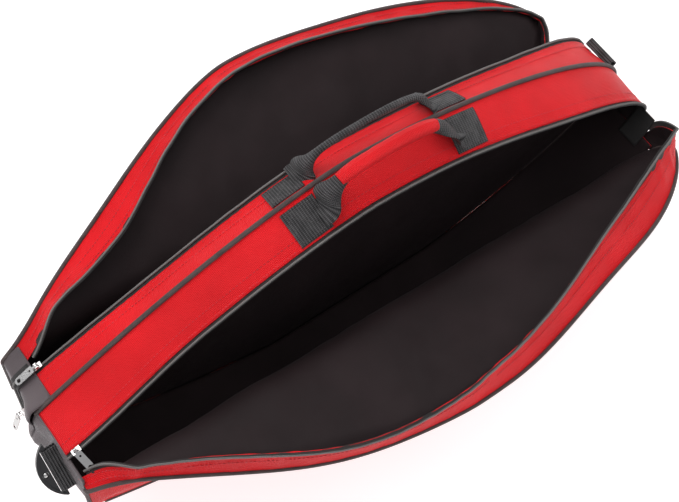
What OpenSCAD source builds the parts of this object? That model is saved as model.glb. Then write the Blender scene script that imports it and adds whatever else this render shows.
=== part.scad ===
// Two-compartment racket bag, shown with both compartments unzipped.
// X runs from the handle end to the head tip, Z is up, +Y is the far (smaller) compartment.
// The origin is on the floor, under the crown of the racket outline, in the divider's plane.

/* [Bag] */
// Length from the handle end to the head tip
bag_l = 740; // [700:5:780]
// Height of the racket outline above its long axis
bag_half = 155; // [150:1:165]
// Height of the long axis above the floor: the bag rests flattened on its underside
axis_h = 140; // [132:1:146]
// Half height of the bag at its handle end
end_half = 33; // [28:1:40]
// Share of the length that lies before the crown
crown_share = 0.5; // [0.46:0.01:0.54]
// Depth of the far compartment
far_depth = 68; // [62:1:76]
// Depth of the near compartment
near_depth = 88; // [82:1:96]

/* [Openings] */
// How far the far cover is folded out, in degrees
far_open = 62; // [50:1:75]
// How far the near cover is folded out, in degrees
near_open = 87; // [70:1:92]
// Slot left between the two halves of a zip when it is shut
zip_slot = 4; // [3:0.5:6]

/* [Cloth] */
// Thickness of the coated outer cloth
cloth_t = 0.8; // [0.6:0.1:1.2]
// Thickness of the foam sheet in each wall
foam_t = 4; // [3:0.5:6]
// Thickness of the lining
lining_t = 0.6; // [0.5:0.1:1]
// Thickness of the lined gusset strips
strip_t = 1.6; // [1.2:0.1:2.4]
// Radius of the piping cord
piping_r = 2.4; // [2:0.1:3]

/* [Webbing and handles] */
// Width of the webbing
webbing_w = 38; // [30:1:40]
// Thickness of the webbing
webbing_t = 1.6; // [1.2:0.1:2.4]
// Middle of the handles along the bag
handle_x = 32; // [20:1:44]
// Distance between the inner ends of a handle's patches
handle_span = 160; // [150:2:170]
// Height of a handle's middle above the strips
handle_rise = 36; // [30:1:44]
// Radius of the padded sleeve
sleeve_r = 7.5; // [6:0.5:8.5]

/* [Hidden] */
crown_x = bag_l * crown_share;
head_l = bag_l - crown_x;
shoulder_pow = 1.6;
head_pow = 1.6;
wall_t = cloth_t + foam_t + lining_t;

// Where each zip starts and ends on the outline (see raw())
far_start = 0.05;
far_end = 2.3;
near_start = 0;
near_end = 2.1;
// Where the end cap stops on the upper shoulder, on each side of the divider
cap_far = 0.04;
cap_near = -0.01;
cap_low = 3.94;

// The zip lines: distance from the divider, and how far the strips sag there
far_zip_y = 38.5;
far_zip_drop = 14;
near_zip_y = 50.5;
near_zip_drop = 20;

// The far zip swings out towards the head, and the near zip towards the handle end
far_flare = 12;
near_flare = 12;

tape_w = 7;
tape_t = 1;
coil_r = 1.5;
fold_gap = 1;
steps_per_unit = 18;

RED = [0.86, 0.16, 0.18];
DARK = [0.20, 0.18, 0.18];
LINING = [0.11, 0.10, 0.11];
PALE_LINING = [0.17, 0.16, 0.17];
FOAM = [0.80, 0.80, 0.78];
WEBBING = [0.15, 0.15, 0.16];
SILVER = [0.78, 0.78, 0.80];
PIPING = [0.36, 0.31, 0.30];

// ---------------------------------------------------------------- the outline
// Half height of the racket shape: a bent shoulder up to the crown, then a pointed oval head.
function shoulder(u) = bag_half - (bag_half - end_half) * pow(1 - u, shoulder_pow);
function head_x(a) = head_l * pow(sin(a), 2 / head_pow);
function head_z(a) = bag_half * pow(cos(a), 2 / head_pow);

// One turn of the outline is 5 units: 0 to 1 the upper shoulder, 1 to 2 the upper head,
// 2 to 3 the lower head, 3 to 4 the lower shoulder and 4 to 5 the handle end, going up.
function raw(t) =
    t < 0 ? raw(t + 5)
    : t < 1 ? [crown_x * (t - 1), shoulder(t)]
    : t < 2 ? [head_x(90 * (t - 1)), head_z(90 * (t - 1))]
    : t < 3 ? [head_x(90 * (3 - t)), -head_z(90 * (3 - t))]
    : t < 4 ? [crown_x * (3 - t), -shoulder(4 - t)]
    : t < 5 ? [-crown_x, end_half * (2 * (t - 4) - 1)]
    : raw(t - 5);
function outline(t) = [raw(t)[0], max(raw(t)[1] + axis_h, 0)];

// Unit normal of the outline, pointing out of the bag
probe = 0.004;
function unit(v) = v / norm(v);
function normal(t) = let (d = unit(outline(t + probe) - outline(t - probe))) [-d[1], d[0]];

// A point on the bag's rim: at t, y from the divider, sunk by drop below the outline
function rim(t, y, drop) = let (p = outline(t), n = normal(t)) [p[0] - drop * n[0], y, p[1] - drop * n[1]];

// Places from a to b where the outline is drawn: both ends, and a grid that takes in the corners
function stations(a, b) = concat(
    [a],
    [for (k = [floor(a * steps_per_unit) + 1:ceil(b * steps_per_unit) - 1]) k / steps_per_unit],
    [b]
);

// The sag of a strip's edge: none where the zip starts and ends, all of it half a unit further in
sag_run = 0.5;
function ramp(u) = sin(90 * min(max(u / sag_run, 0), 1));
function sag(t, a, b, full) = full * ramp(t - a) * ramp(b - t);

// How far each zip line has swung out at t; side is the sign of its Y
function flare(t, side) = side > 0
    ? far_flare * (1 - cos(180 * min(max((t - 1.45) / 0.4, 0), 1))) / 2
    : near_flare * (1 + cos(180 * min(max((t - near_start) / 0.45, 0), 1))) / 2;

// ---------------------------------------------------------------- builders
// A closed solid through rings of the same number of points, with flat ends
module skin(rings) {
    n = len(rings[0]);
    m = len(rings);
    sides = [for (i = [0:m - 2]) for (j = [0:n - 1]) each [
        [i * n + j, (i + 1) * n + j, (i + 1) * n + (j + 1) % n],
        [i * n + j, (i + 1) * n + (j + 1) % n, i * n + (j + 1) % n]
    ]];
    ends = [for (j = [1:n - 2]) each [
        [0, j, j + 1],
        [(m - 1) * n, (m - 1) * n + j + 1, (m - 1) * n + j]
    ]];
    polyhedron(points = [for (r = rings) each r], faces = concat(sides, ends));
}

// A strip along the rim from a to b, between the distances y0 < y1 from the divider.
// sags holds the zip's start and end and the full sag at y0 and at y1; flares is 1 for an edge on the zip.
NO_SAG = [0, 5, 0, 0];
module strip(a, b, y0, y1, t, sags = NO_SAG, flares = [0, 0]) {
    side = sign(y0 + y1);
    skin([for (s = stations(a, b))
        let (
            d0 = sag(s, sags[0], sags[1], sags[2]),
            d1 = sag(s, sags[0], sags[1], sags[3]),
            f0 = y0 + side * flares[0] * flare(s, side),
            f1 = y1 + side * flares[1] * flare(s, side)
        )
        [rim(s, f0, d0), rim(s, f0, d0 + t), rim(s, f1, d1 + t), rim(s, f1, d1)]
    ]);
}

// A six-sided bead along the rim, its middle sunk by drop below the sagging strip
module bead(a, b, y, drop, r, sags = NO_SAG, flares = 0) {
    skin([for (s = stations(a, b))
        let (d = sag(s, sags[0], sags[1], sags[2]), f = y + sign(y) * flares * flare(s, sign(y)))
        [for (k = [0:5]) rim(s, f + r * cos(60 * k), d + drop - r * sin(60 * k))]
    ]);
}

// A sheet of cloth or foam in an XZ plane, from its lower y upwards
module sheet(points, y, t) {
    translate([0, y + t, 0])
        rotate([90, 0, 0])
            linear_extrude(t)
                polygon(points);
}

// The three layers of an outer wall; layer 0 is the cloth, 1 the foam, 2 the lining
layer_from = [0, cloth_t, cloth_t + foam_t];
layer_t = [cloth_t, foam_t, lining_t];
module wall_layer(points, side, depth, layer) {
    inner = depth - layer_from[layer] - layer_t[layer];
    sheet(points, side > 0 ? inner : -inner - layer_t[layer], layer_t[layer]);
}

// The part of the outline above a compartment's fold line, and the part below it
function flap_outline(a, b) = [for (s = stations(a, b)) outline(s)];
function hull_outline(a, b) = [for (s = stations(b, 5 + a)) outline(s)];

// Puts a cover that is drawn shut into its open place, about the fold line from a to b
module opened(side, depth, a, b, angle) {
    from = outline(a);
    to = outline(b);
    along = unit([to[0] - from[0], 0, to[1] - from[1]]);
    pivot = [from[0], side * depth, from[1]];
    up = [-along[2], 0, along[0]];
    translate(pivot)
        rotate(a = -side * angle, v = along)
            translate(fold_gap * up - pivot)
                children();
}
module far_opened() { opened(1, far_depth, far_start, far_end, far_open) children(); }
module near_opened() { opened(-1, near_depth, near_start, near_end, near_open) children(); }

// ---------------------------------------------------------------- the divider and top strips
divider_t = 6;
function inset_outline(drop) = [
    for (s = stations(0, 5 - 1 / steps_per_unit))
        let (p = rim(s, 0, drop)) [p[0], p[2]]
];
divider_outline = inset_outline(4);
module divider_foam() { color(FOAM) sheet(divider_outline, -divider_t / 2, divider_t); }
module divider_lining_far() { color(LINING) sheet(divider_outline, divider_t / 2, lining_t); }
module divider_lining_near() {
    color(PALE_LINING) sheet(divider_outline, -divider_t / 2 - lining_t, lining_t);
}

far_zip = [far_start, far_end, far_zip_drop, far_zip_drop];
near_zip = [near_start, near_end, near_zip_drop, near_zip_drop];
far_tape_root = far_zip_y - zip_slot / 2 - tape_w;
near_tape_root = near_zip_y - zip_slot / 2 - tape_w;
far_root_sag = [far_start, far_end, 0, far_zip_drop];
near_root_sag = [near_start, near_end, near_zip_drop, 0];
module top_strip_far() {
    color(RED) strip(cap_far + 0.004, far_end, 0.1, far_tape_root, strip_t, far_root_sag, [0, 1]);
}
module top_strip_near() {
    color(RED) strip(cap_near + 0.004, near_end, -near_tape_root, -0.1, strip_t, near_root_sag, [1, 0]);
}
module centre_piping() { color(PIPING) bead(4.3, 5 + 2.5, 0, -piping_r - 0.1, piping_r); }

// ---------------------------------------------------------------- zips
// One half of a zip from a to b: a tape between its sewn root and its free edge, and the coil on that edge
module zip_half(a, b, root, edge, zip) {
    low = min(root, edge);
    high = max(root, edge);
    inward = root > edge ? 1 : -1;
    color(DARK)
        union() {
            strip(a, b, low, high, tape_t, zip, [1, 1]);
            bead(a, b, edge + inward * coil_r, -coil_r + 0.4, coil_r, zip, 1);
        }
}
slider_room = 0.06;
far_edge = far_zip_y - zip_slot / 2;
near_edge = near_zip_y - zip_slot / 2;
module zip_far_inner() { zip_half(far_start, far_end, far_tape_root, far_edge, far_zip); }
module zip_near_inner() { zip_half(near_start, near_end, -near_tape_root, -near_edge, near_zip); }
module zip_far_outer() {
    far_opened()
        zip_half(far_start + slider_room, far_end - slider_room, far_edge + zip_slot + tape_w,
            far_edge + zip_slot, far_zip);
}
module zip_near_outer() {
    near_opened()
        zip_half(near_start + slider_room, near_end - slider_room, -near_edge - zip_slot - tape_w,
            -near_edge - zip_slot, near_zip);
}

// ---------------------------------------------------------------- covers
module far_layer(layer) { wall_layer(flap_outline(far_start, far_end), 1, far_depth, layer); }
module near_layer(layer) { wall_layer(flap_outline(near_start, near_end), -1, near_depth, layer); }
module cover_far_cloth() { color(RED) far_opened() far_layer(0); }
module cover_far_foam() { color(FOAM) far_opened() far_layer(1); }
module cover_far_lining() { color(LINING) far_opened() far_layer(2); }
module cover_near_cloth() { color(RED) near_opened() near_layer(0); }
module cover_near_foam() { color(FOAM) near_opened() near_layer(1); }
module cover_near_lining() { color(LINING) near_opened() near_layer(2); }

module cover_far_strip() {
    color(RED)
        far_opened()
            strip(far_start + slider_room, far_end - slider_room, far_edge + zip_slot + tape_w,
                far_depth - wall_t - 0.1, strip_t, [far_start, far_end, far_zip_drop, 0], [1, 0]);
}
module cover_near_strip() {
    color(RED)
        near_opened()
            strip(near_start + slider_room, near_end - slider_room, -(near_depth - wall_t - 0.1),
                -near_edge - zip_slot - tape_w, strip_t, [near_start, near_end, 0, near_zip_drop], [0, 1]);
}
module cover_far_piping() {
    color(PIPING)
        far_opened()
            bead(far_start + 0.03, far_end - 0.03, far_depth - piping_r, -piping_r - 0.1, piping_r);
}
module cover_near_piping() {
    color(PIPING)
        near_opened()
            bead(near_start + 0.03, near_end - 0.03, -near_depth + piping_r, -piping_r - 0.1, piping_r);
}

// ---------------------------------------------------------------- the lower body
module lower_far(layer) { wall_layer(hull_outline(far_start, far_end), 1, far_depth, layer); }
module lower_near(layer) { wall_layer(hull_outline(near_start, near_end), -1, near_depth, layer); }
module wall_far_cloth() { color(RED) lower_far(0); }
module wall_far_foam() { color(FOAM) lower_far(1); }
module wall_far_lining() { color(LINING) lower_far(2); }
module wall_near_cloth() { color(RED) lower_near(0); }
module wall_near_foam() { color(FOAM) lower_near(1); }
module wall_near_lining() { color(LINING) lower_near(2); }

// The lower piping sits on the wall's face, level with its edge, so the bag still rests flat
module lower_piping(a, b, y) { color(PIPING) bead(b + 0.03, 5 + a - 0.03, y, piping_r, piping_r); }
module wall_far_piping() { lower_piping(far_start, far_end, far_depth + piping_r); }
module wall_near_piping() { lower_piping(near_start, near_end, -near_depth - piping_r); }

far_inside = far_depth - wall_t - 0.1;
near_inside = near_depth - wall_t - 0.1;
// The gussets meet just beside the divider
seam_y = 2;
module gusset_far() { color(RED) strip(far_end + 0.02, cap_low, seam_y + 0.1, far_inside, strip_t); }
module gusset_near() {
    color(RED)
        union() {
            strip(near_end + 0.02, far_end + 0.02, -near_inside, -0.1, strip_t);
            strip(far_end + 0.02, cap_low, -near_inside, seam_y, strip_t);
        }
}

cap_t = 2.4;
module end_cap() {
    color(DARK)
        union() {
            strip(cap_low + 0.004, 5 + cap_far, 0, far_inside, cap_t);
            strip(cap_low + 0.004, 5 + cap_near, -near_inside, 0, cap_t);
        }
}

// The shut end of the far zip, which runs on over the end cap between its two sliders
end_zip_from = 4.16;
module zip_end_shut() {
    color(DARK)
        union() {
            skin([for (s = stations(end_zip_from, 5 + cap_far - 0.02)) [
                rim(s, far_zip_y - tape_w, -0.8), rim(s, far_zip_y - tape_w, 0),
                rim(s, far_zip_y + tape_w, 0), rim(s, far_zip_y + tape_w, -0.8)
            ]]);
            bead(end_zip_from, 5 + cap_far - 0.02, far_zip_y, -0.8 - coil_r + 0.4, coil_r);
        }
}

// ---------------------------------------------------------------- webbing
patch_x = [handle_x - handle_span / 2 - webbing_w / 2, handle_x + handle_span / 2 + webbing_w / 2];
far_patch_y = [5, 29];
near_patch_y = [-39, -7];
function at_x(x) = x < 0 ? 1 + x / crown_x : 1 + asin(pow(x / head_l, head_pow / 2)) / 90;

// A square of webbing sewn flat on a top strip; y is its two edges
module patch(x, y, sags) {
    full = [for (e = y) max(sags[2], sags[3]) * abs(e) / (sags[3] > 0 ? far_tape_root : near_tape_root)];
    lift = [sags[0], sags[1], full[0], full[1]];
    color(WEBBING)
        skin([for (s = stations(at_x(x - webbing_w / 2), at_x(x + webbing_w / 2)))
            let (
                d0 = sag(s, lift[0], lift[1], lift[2]) - webbing_t - 0.15,
                d1 = sag(s, lift[0], lift[1], lift[3]) - webbing_t - 0.15
            )
            [rim(s, y[0], d0), rim(s, y[0], d0 + webbing_t), rim(s, y[1], d1 + webbing_t), rim(s, y[1], d1)]
        ]);
}
module patch_far_rear() { patch(patch_x[0], far_patch_y, far_root_sag); }
module patch_far_front() { patch(patch_x[1], far_patch_y, far_root_sag); }
module patch_near_rear() { patch(patch_x[0], near_patch_y, near_root_sag); }
module patch_near_front() { patch(patch_x[1], near_patch_y, near_root_sag); }

// A handle's line: level feet beside the patches, steep legs and a flat middle, given by u from 0 to 1.
// lean is how far its middle stands to the side of its feet.
handle_power = 2.6;
foot_lift = 7;
function foot_z(x, y, sags) = let (
        s = at_x(x),
        full = max(sags[2], sags[3]) * abs(y) / (sags[3] > 0 ? far_tape_root : near_tape_root)
    ) rim(s, 0, sag(s, sags[0], sags[1], full))[2] + foot_lift;
function handle_point(u, y, lean, sags) = let (
        w = 180 * (1 - u),
        x = handle_x + (handle_span / 2 - 3) * sign(cos(w)) * pow(abs(cos(w)), 2 / handle_power),
        rise = pow(sin(w), 2 / handle_power),
        z0 = foot_z(handle_x - handle_span / 2 + 3, y, sags),
        z1 = foot_z(handle_x + handle_span / 2 - 3, y, sags)
    ) [x, y + lean * rise, z0 + (z1 - z0) * u + handle_rise * rise];

// A tube of elliptic section along a handle's line, from u = a to b: width w across, height h
module handle_tube(a, b, n, w, h, y, lean, sags) {
    skin([for (i = [0:n])
        let (
            u = a + (b - a) * i / n,
            p = handle_point(u, y, lean, sags),
            d = unit(handle_point(u + 0.01, y, lean, sags) - handle_point(u - 0.01, y, lean, sags)),
            side = unit(cross(d, [0, 0, 1] + [d[0] > 0 ? -0.001 : 0.001, 0, 0])),
            up = cross(side, d)
        )
        [for (k = [0:7]) p + w / 2 * cos(45 * k) * side - h / 2 * sin(45 * k) * up]
    ]);
}
near_handle_y = -23;
near_handle_lean = 3;
far_handle_y = 19;
far_handle_lean = -3;
module handle_far() {
    color(WEBBING)
        handle_tube(0.02, 0.98, 26, 7, 6, far_handle_y, far_handle_lean, far_root_sag);
}
sleeve_from = 0.27;
sleeve_to = 0.73;
module handle_near_sleeve() {
    color(RED)
        handle_tube(sleeve_from, sleeve_to, 14, 2 * sleeve_r, 2 * sleeve_r, near_handle_y,
            near_handle_lean, near_root_sag);
}
module handle_near_webbing() {
    color(WEBBING)
        union() {
            for (ends = [[0.02, sleeve_from - 0.003], [sleeve_to + 0.003, 0.98]])
                handle_tube(ends[0], ends[1], 10, 10, 6, near_handle_y, near_handle_lean, near_root_sag);
        }
}

// A flattened loop of webbing on the far strip, just above the head tip
loop_t = 1.9;
loop_inner = [10, 7];
loop_y = 4;
module head_loop() {
    seat = sag(loop_t, far_start, far_end, far_zip_drop * loop_y / far_tape_root);
    place = rim(loop_t, loop_y, seat - webbing_t - loop_inner[1] / 2 - 0.1);
    turn = atan2(normal(loop_t)[1], normal(loop_t)[0]) - 90;
    color(WEBBING)
        translate(place)
            rotate([0, -turn, 0])
                rotate([-90, 0, 0])
                    linear_extrude(webbing_w)
                        difference() {
                            square(loop_inner + 2 * webbing_t * [1, 1], center = true);
                            square(loop_inner, center = true);
                        }
}

// ---------------------------------------------------------------- the strap fitting at the handle end
fitting_at = [-crown_x, -48, axis_h + 2];
fitting_turn = 51;
strap_w = 50;
bar_r = 2;
bar_x = -14;
bar_gap = 0.06;
ring_t = 4;
module fitting_frame() { translate(fitting_at) rotate([fitting_turn, 0, 0]) children(); }

// Webbing sewn to the end cap, folded round the ring's bar and back
module strap_tab() {
    outer_r = bar_r + bar_gap + webbing_t;
    color(WEBBING)
        fitting_frame()
            translate([0, strap_w / 2, 0])
                rotate([90, 0, 0])
                    linear_extrude(strap_w)
                        difference() {
                            union() {
                                translate([bar_x, 0]) circle(r = outer_r, $fn = 48);
                                translate([bar_x, -outer_r]) square([-bar_x - 0.05, 2 * outer_r]);
                            }
                            translate([bar_x, 0]) circle(r = bar_r + bar_gap, $fn = 48);
                            translate([bar_x, -0.15]) square([-bar_x, 0.3]);
                        }
}

// The plastic ring: a bar through the tab, two cheeks, and a lens-shaped plate with a raised rim
plate_l = 62;
plate_reach = 16;
pin_x = -9.6;
pin_r = 3.5;
plate_r = (pow(plate_l / 2, 2) + pow(plate_reach, 2)) / (2 * plate_reach);
slot_x = -4.2;
module lens_2d(inset) {
    intersection() {
        translate([plate_r - plate_reach + inset, 0]) circle(r = plate_r - inset / 4, $fn = 96);
        translate([-plate_reach - 1, -plate_l / 2 + inset])
            square([plate_reach + 3 - inset, plate_l - 2 * inset]);
    }
}
module strap_ring() {
    color(DARK)
        fitting_frame()
            translate([bar_x, 0, 0]) {
                rotate([90, 0, 0])
                    cylinder(r = bar_r, h = strap_w + 6, center = true, $fn = 48);
                difference() {
                    translate([0, 0, -ring_t / 2]) linear_extrude(ring_t) lens_2d(0);
                    translate([slot_x, -strap_w / 2 - 0.5, -ring_t]) cube([8, strap_w + 1, 2 * ring_t]);
                    translate([0, 0, ring_t / 2 - 1]) linear_extrude(2) lens_2d(2.5);
                    translate([pin_x, 0, -ring_t]) cylinder(r = pin_r + 0.1, h = 2 * ring_t, $fn = 48);
                }
            }
}
module strap_pin() {
    color(SILVER)
        fitting_frame()
            translate([bar_x + pin_x, 0, -ring_t / 2])
                rotate_extrude($fn = 48)
                    polygon(concat(
                        [[0, 0], [pin_r, 0], [pin_r, 1.6]],
                        [for (w = [0:15:90]) [(pin_r - 0.5) * cos(w), 1.6 + 2.2 * sin(w)]]
                    ));
}

// ---------------------------------------------------------------- sliders and pulls
// Drawn with X along the tape towards the shut end, Y towards the other half and Z out of the bag;
// the origin is on the tape's outer face, at its free edge.
slider_l = 10;
slider_w = 5.7;
slider_mid = -1.35;
slider_clear = 0.5;
slider_top = 2 * coil_r - 0.4 + slider_clear;
slider_low = -tape_t - slider_clear;
slider_wall = 1.2;
crown_z = slider_top + slider_wall + 2.9;
crown_r = 0.9;
module slider_body(turn = 0) {
    color(SILVER)
        union() {
            difference() {
                translate([-slider_l / 2, slider_mid - slider_w / 2, slider_low - slider_wall])
                    cube([slider_l, slider_w, slider_top - slider_low + 2 * slider_wall]);
                translate([-slider_l, slider_mid - slider_w, slider_low])
                    cube([2 * slider_l, slider_w + 1.7, slider_top - slider_low]);
            }
            translate([0, slider_mid, 0])
                rotate([0, 0, turn]) {
                    for (y = [-2.6, 1.8])
                        translate([-1.6, y, slider_top + slider_wall - 0.1]) cube([3.2, 0.8, 3.8]);
                    translate([0, -2.6, crown_z])
                        rotate([-90, 0, 0])
                            cylinder(r = crown_r, h = 5.2, $fn = 32);
                }
        }
}

// The pull: a flat tab with a bore for the crown bar and a finger hole, hanging along -X at angle 0
pull_l = 27;
pull_w = 8;
pull_t = 1.3;
module pull_body() {
    color(SILVER)
        difference() {
            union() {
                rotate([-90, 0, 0]) translate([0, 0, -1.3]) cylinder(r = crown_r + 0.9, h = 2.6, $fn = 32);
                translate([-5, -1.3, -pull_t / 2]) cube([5, 2.6, pull_t]);
                translate([0, 0, -pull_t / 2])
                    linear_extrude(pull_t)
                        difference() {
                            union() {
                                translate([-pull_l + pull_w / 2, 0]) circle(d = pull_w, $fn = 48);
                                translate([-pull_l + pull_w / 2, -pull_w / 2])
                                    square([pull_l - pull_w / 2 - 4, pull_w]);
                            }
                            translate([-pull_l + pull_w / 2 + 0.5, 0]) circle(d = 4.2, $fn = 32);
                            translate([-8, 0]) circle(d = 2.2, $fn = 32);
                        }
            }
            rotate([-90, 0, 0]) translate([0, 0, -2]) cylinder(r = crown_r + 0.06, h = 4, $fn = 32);
        }
}

// Puts a slider at p, its X along the tape's run from p to q; side is the edge's side of the divider
module on_zip(p, q, side) {
    run = norm([q[0] - p[0], q[2] - p[2]]);
    translate(p)
        rotate([0, -atan2(q[2] - p[2], q[0] - p[0]), 0])
            rotate([0, 0, atan2(q[1] - p[1], run)])
                mirror([0, side < 0 ? 1 : 0, 0])
                    children();
}
slider_run = 0.06;
far_slider_t = far_start + 0.016;
near_slider_t = near_start + 0.03;
end_slider_t = end_zip_from - 0.09;
function on_edge(t, y, zip) = rim(t, y + sign(y) * flare(t, sign(y)), sag(t, zip[0], zip[1], zip[2]));
far_slider_p = on_edge(far_slider_t, far_edge, far_zip);
far_slider_q = on_edge(far_slider_t + slider_run, far_edge, far_zip);
near_slider_p = on_edge(near_slider_t, -near_edge, near_zip);
near_slider_q = on_edge(near_slider_t + slider_run, -near_edge, near_zip);
end_slider_p = rim(end_slider_t, far_zip_y, -3.6);
end_slider_q = rim(end_slider_t + slider_run, far_zip_y, -3.6);
module far_slider_place() { on_zip(far_slider_p, far_slider_q, 1) children(); }
module near_slider_place() { on_zip(near_slider_p, near_slider_q, -1) children(); }
module end_slider_place() { on_zip(end_slider_p, end_slider_q, 1) children(); }

// Hangs a pull on the crown bar: turned about the slider's Z, then tipped down by angle
module hung(angle, turn = 0) {
    translate([0, slider_mid, crown_z]) rotate([0, 0, turn]) rotate([0, -angle, 0]) children();
}
far_pull_angle = 6;
near_pull_angle = 34;
end_pull_angle = -22;
module slider_far() { far_slider_place() slider_body(); }
module slider_near() { near_slider_place() slider_body(90); }
module slider_end() { end_slider_place() slider_body(); }
module pull_far() { far_slider_place() hung(far_pull_angle) pull_body(); }
module pull_near() { near_slider_place() hung(near_pull_angle, -90) pull_body(); }
module pull_end() { end_slider_place() hung(end_pull_angle) pull_body(); }

divider_foam();
divider_lining_far();
divider_lining_near();
top_strip_far();
top_strip_near();
centre_piping();
zip_far_inner();
zip_near_inner();
wall_far_cloth();
wall_far_foam();
wall_far_lining();
wall_far_piping();
wall_near_cloth();
wall_near_foam();
wall_near_lining();
wall_near_piping();
gusset_far();
gusset_near();
end_cap();
zip_end_shut();
patch_far_rear();
patch_far_front();
patch_near_rear();
patch_near_front();
head_loop();
strap_tab();
slider_end();
cover_far_cloth();
cover_far_foam();
cover_far_lining();
cover_far_strip();
cover_far_piping();
zip_far_outer();
cover_near_cloth();
cover_near_foam();
cover_near_lining();
cover_near_strip();
cover_near_piping();
zip_near_outer();
handle_far();
handle_near_sleeve();
handle_near_webbing();
strap_ring();
strap_pin();
slider_far();
slider_near();
pull_far();
pull_near();
pull_end();
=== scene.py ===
"""Two-compartment racket bag with both covers folded out, dressed over its CAD frame."""
import logging
import math
from dataclasses import dataclass
from enum import Enum
from typing import Callable, Sequence

import bmesh
import bpy
import numpy as np
from mathutils import Matrix, Vector


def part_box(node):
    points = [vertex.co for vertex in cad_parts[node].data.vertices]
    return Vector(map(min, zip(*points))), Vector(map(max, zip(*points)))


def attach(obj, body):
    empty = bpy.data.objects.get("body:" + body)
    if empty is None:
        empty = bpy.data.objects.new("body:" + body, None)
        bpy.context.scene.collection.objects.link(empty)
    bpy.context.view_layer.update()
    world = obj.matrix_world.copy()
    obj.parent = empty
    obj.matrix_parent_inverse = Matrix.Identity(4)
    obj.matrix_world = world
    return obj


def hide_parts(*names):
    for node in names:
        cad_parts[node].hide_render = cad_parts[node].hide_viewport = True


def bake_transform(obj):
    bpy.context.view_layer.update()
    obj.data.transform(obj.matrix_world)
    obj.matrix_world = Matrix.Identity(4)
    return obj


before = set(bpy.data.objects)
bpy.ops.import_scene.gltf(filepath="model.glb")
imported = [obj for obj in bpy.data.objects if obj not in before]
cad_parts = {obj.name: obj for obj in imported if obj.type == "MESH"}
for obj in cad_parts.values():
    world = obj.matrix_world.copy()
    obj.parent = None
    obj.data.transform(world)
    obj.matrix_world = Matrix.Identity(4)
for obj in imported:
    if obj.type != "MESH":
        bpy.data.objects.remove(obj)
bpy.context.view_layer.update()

Array = np.ndarray
MM = 0.001
LOG = logging.getLogger("racket_bag")

# The racket outline, in millimetres, as the part's source draws it.
BAG_HALF = 155.0
AXIS_H = 140.0
END_HALF = 33.0
CROWN_X = 370.0
BEND_POWER = 1.6
OVAL_POWER = 1.25
SAG_RUN = 0.5
# One unit of place along the shoulder or the head is about this many millimetres.
RIM_UNIT = 385.0
# Where the end cap's lower edge lies.
CAP_LOW = 3.94
X_AXIS = np.array([1.0, 0.0, 0.0])
Y_AXIS = np.array([0.0, 1.0, 0.0])
Z_AXIS = np.array([0.0, 0.0, 1.0])

# Vertices, faces and UV of a mesh that is still to be joined.
Part = tuple[Array, Sequence, Array]
Colour = tuple[float, float, float]
# Soft changes along a line; what the three numbers mean stands where they are used.
Bumps = tuple[tuple[float, float, float], ...]


class Side(Enum):
    """Which side of the divider a piece lies on; the value is the sign of its Y."""

    FAR = 1
    NEAR = -1


# ------------------------------------------------------------------ the outline
def shoulder(u: Array) -> Array:
    """Half height of the bent shoulder.

    Args:
        u: 0 at the handle end, 1 at the crown.
    Returns:
        Half heights: the crown's, less a share that falls off as a power of 1 - u.
    """
    return BAG_HALF - (BAG_HALF - END_HALF) * np.clip(1 - u, 0, 1) ** BEND_POWER


def outline(t: Array) -> Array:
    """Points of the racket outline.

    Args:
        t: places; 5 units make a turn: upper shoulder, upper head, lower head, lower shoulder, end.
    Returns:
        N x 2 array of x and z. The head is a superellipse, and the underside is cut flat at z = 0.
    """
    t = np.mod(np.asarray(t, float), 5.0)
    angle = np.radians(90 * np.where(t < 2, t - 1, 3 - t))
    sine = np.clip(np.sin(angle), 0, 1)
    cosine = np.clip(np.cos(angle), 0, 1)
    head_x = CROWN_X * sine ** OVAL_POWER
    head_z = BAG_HALF * cosine ** OVAL_POWER
    parts = [t < 1, t < 2, t < 3, t < 4]
    x = np.select(parts, [CROWN_X * (t - 1), head_x, head_x, CROWN_X * (3 - t)], -CROWN_X)
    z = np.select(parts, [shoulder(t), head_z, -head_z, -shoulder(4 - t)], END_HALF * (2 * (t - 4) - 1))
    return np.stack([x, np.maximum(z + AXIS_H, 0)], -1)


def outward(t: Array) -> Array:
    """Unit normals of the outline, out of the bag: its central difference, turned a quarter turn."""
    step = outline(np.asarray(t) + 0.004) - outline(np.asarray(t) - 0.004)
    step /= np.linalg.norm(step, axis=-1, keepdims=True)
    return np.stack([-step[..., 1], step[..., 0]], -1)


def rim(t: Array, y: Array, drop: Array) -> Array:
    """Points on the bag's rim: the outline moved in along its normal by drop, at distance y."""
    p, n = outline(t), outward(t)
    t, y, drop = np.broadcast_arrays(t, y, drop)
    return np.stack([p[..., 0] - drop * n[..., 0], y, p[..., 1] - drop * n[..., 1]], -1)


def way_out(t: Array) -> Array:
    """The outline's outward normals at t, as directions in space."""
    n = outward(t)
    return np.stack([n[..., 0], 0 * n[..., 0], n[..., 1]], -1)


def places(a: float, b: float, step: float = 0.014) -> Array:
    """Even places along the rim from a to b."""
    return np.linspace(a, b, max(int((b - a) / step), 4) + 1)


def columns(count: int, inset: float, turned: float) -> tuple[Array, Array]:
    """Upright columns that fill the outline.

    Args:
        count: how many.
        inset: how far the first and last stand in from the outline's ends.
        turned: the share of the head's quarter turn that they cover.
    Returns:
        Their x, even along the shoulder and then even in the head's angle, and the outline's half
        height at each.
    """
    before = np.linspace(-CROWN_X + inset, 0, count // 2, endpoint=False)
    angle = np.linspace(0, np.pi / 2 * turned, count - len(before))
    x = np.concatenate([before, (CROWN_X - inset) * np.sin(angle) ** OVAL_POWER])
    head = BAG_HALF * np.cos(np.concatenate([np.zeros(len(before)), angle])) ** OVAL_POWER
    return x, np.where(x < 0, shoulder(1 + x / CROWN_X), head)


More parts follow.
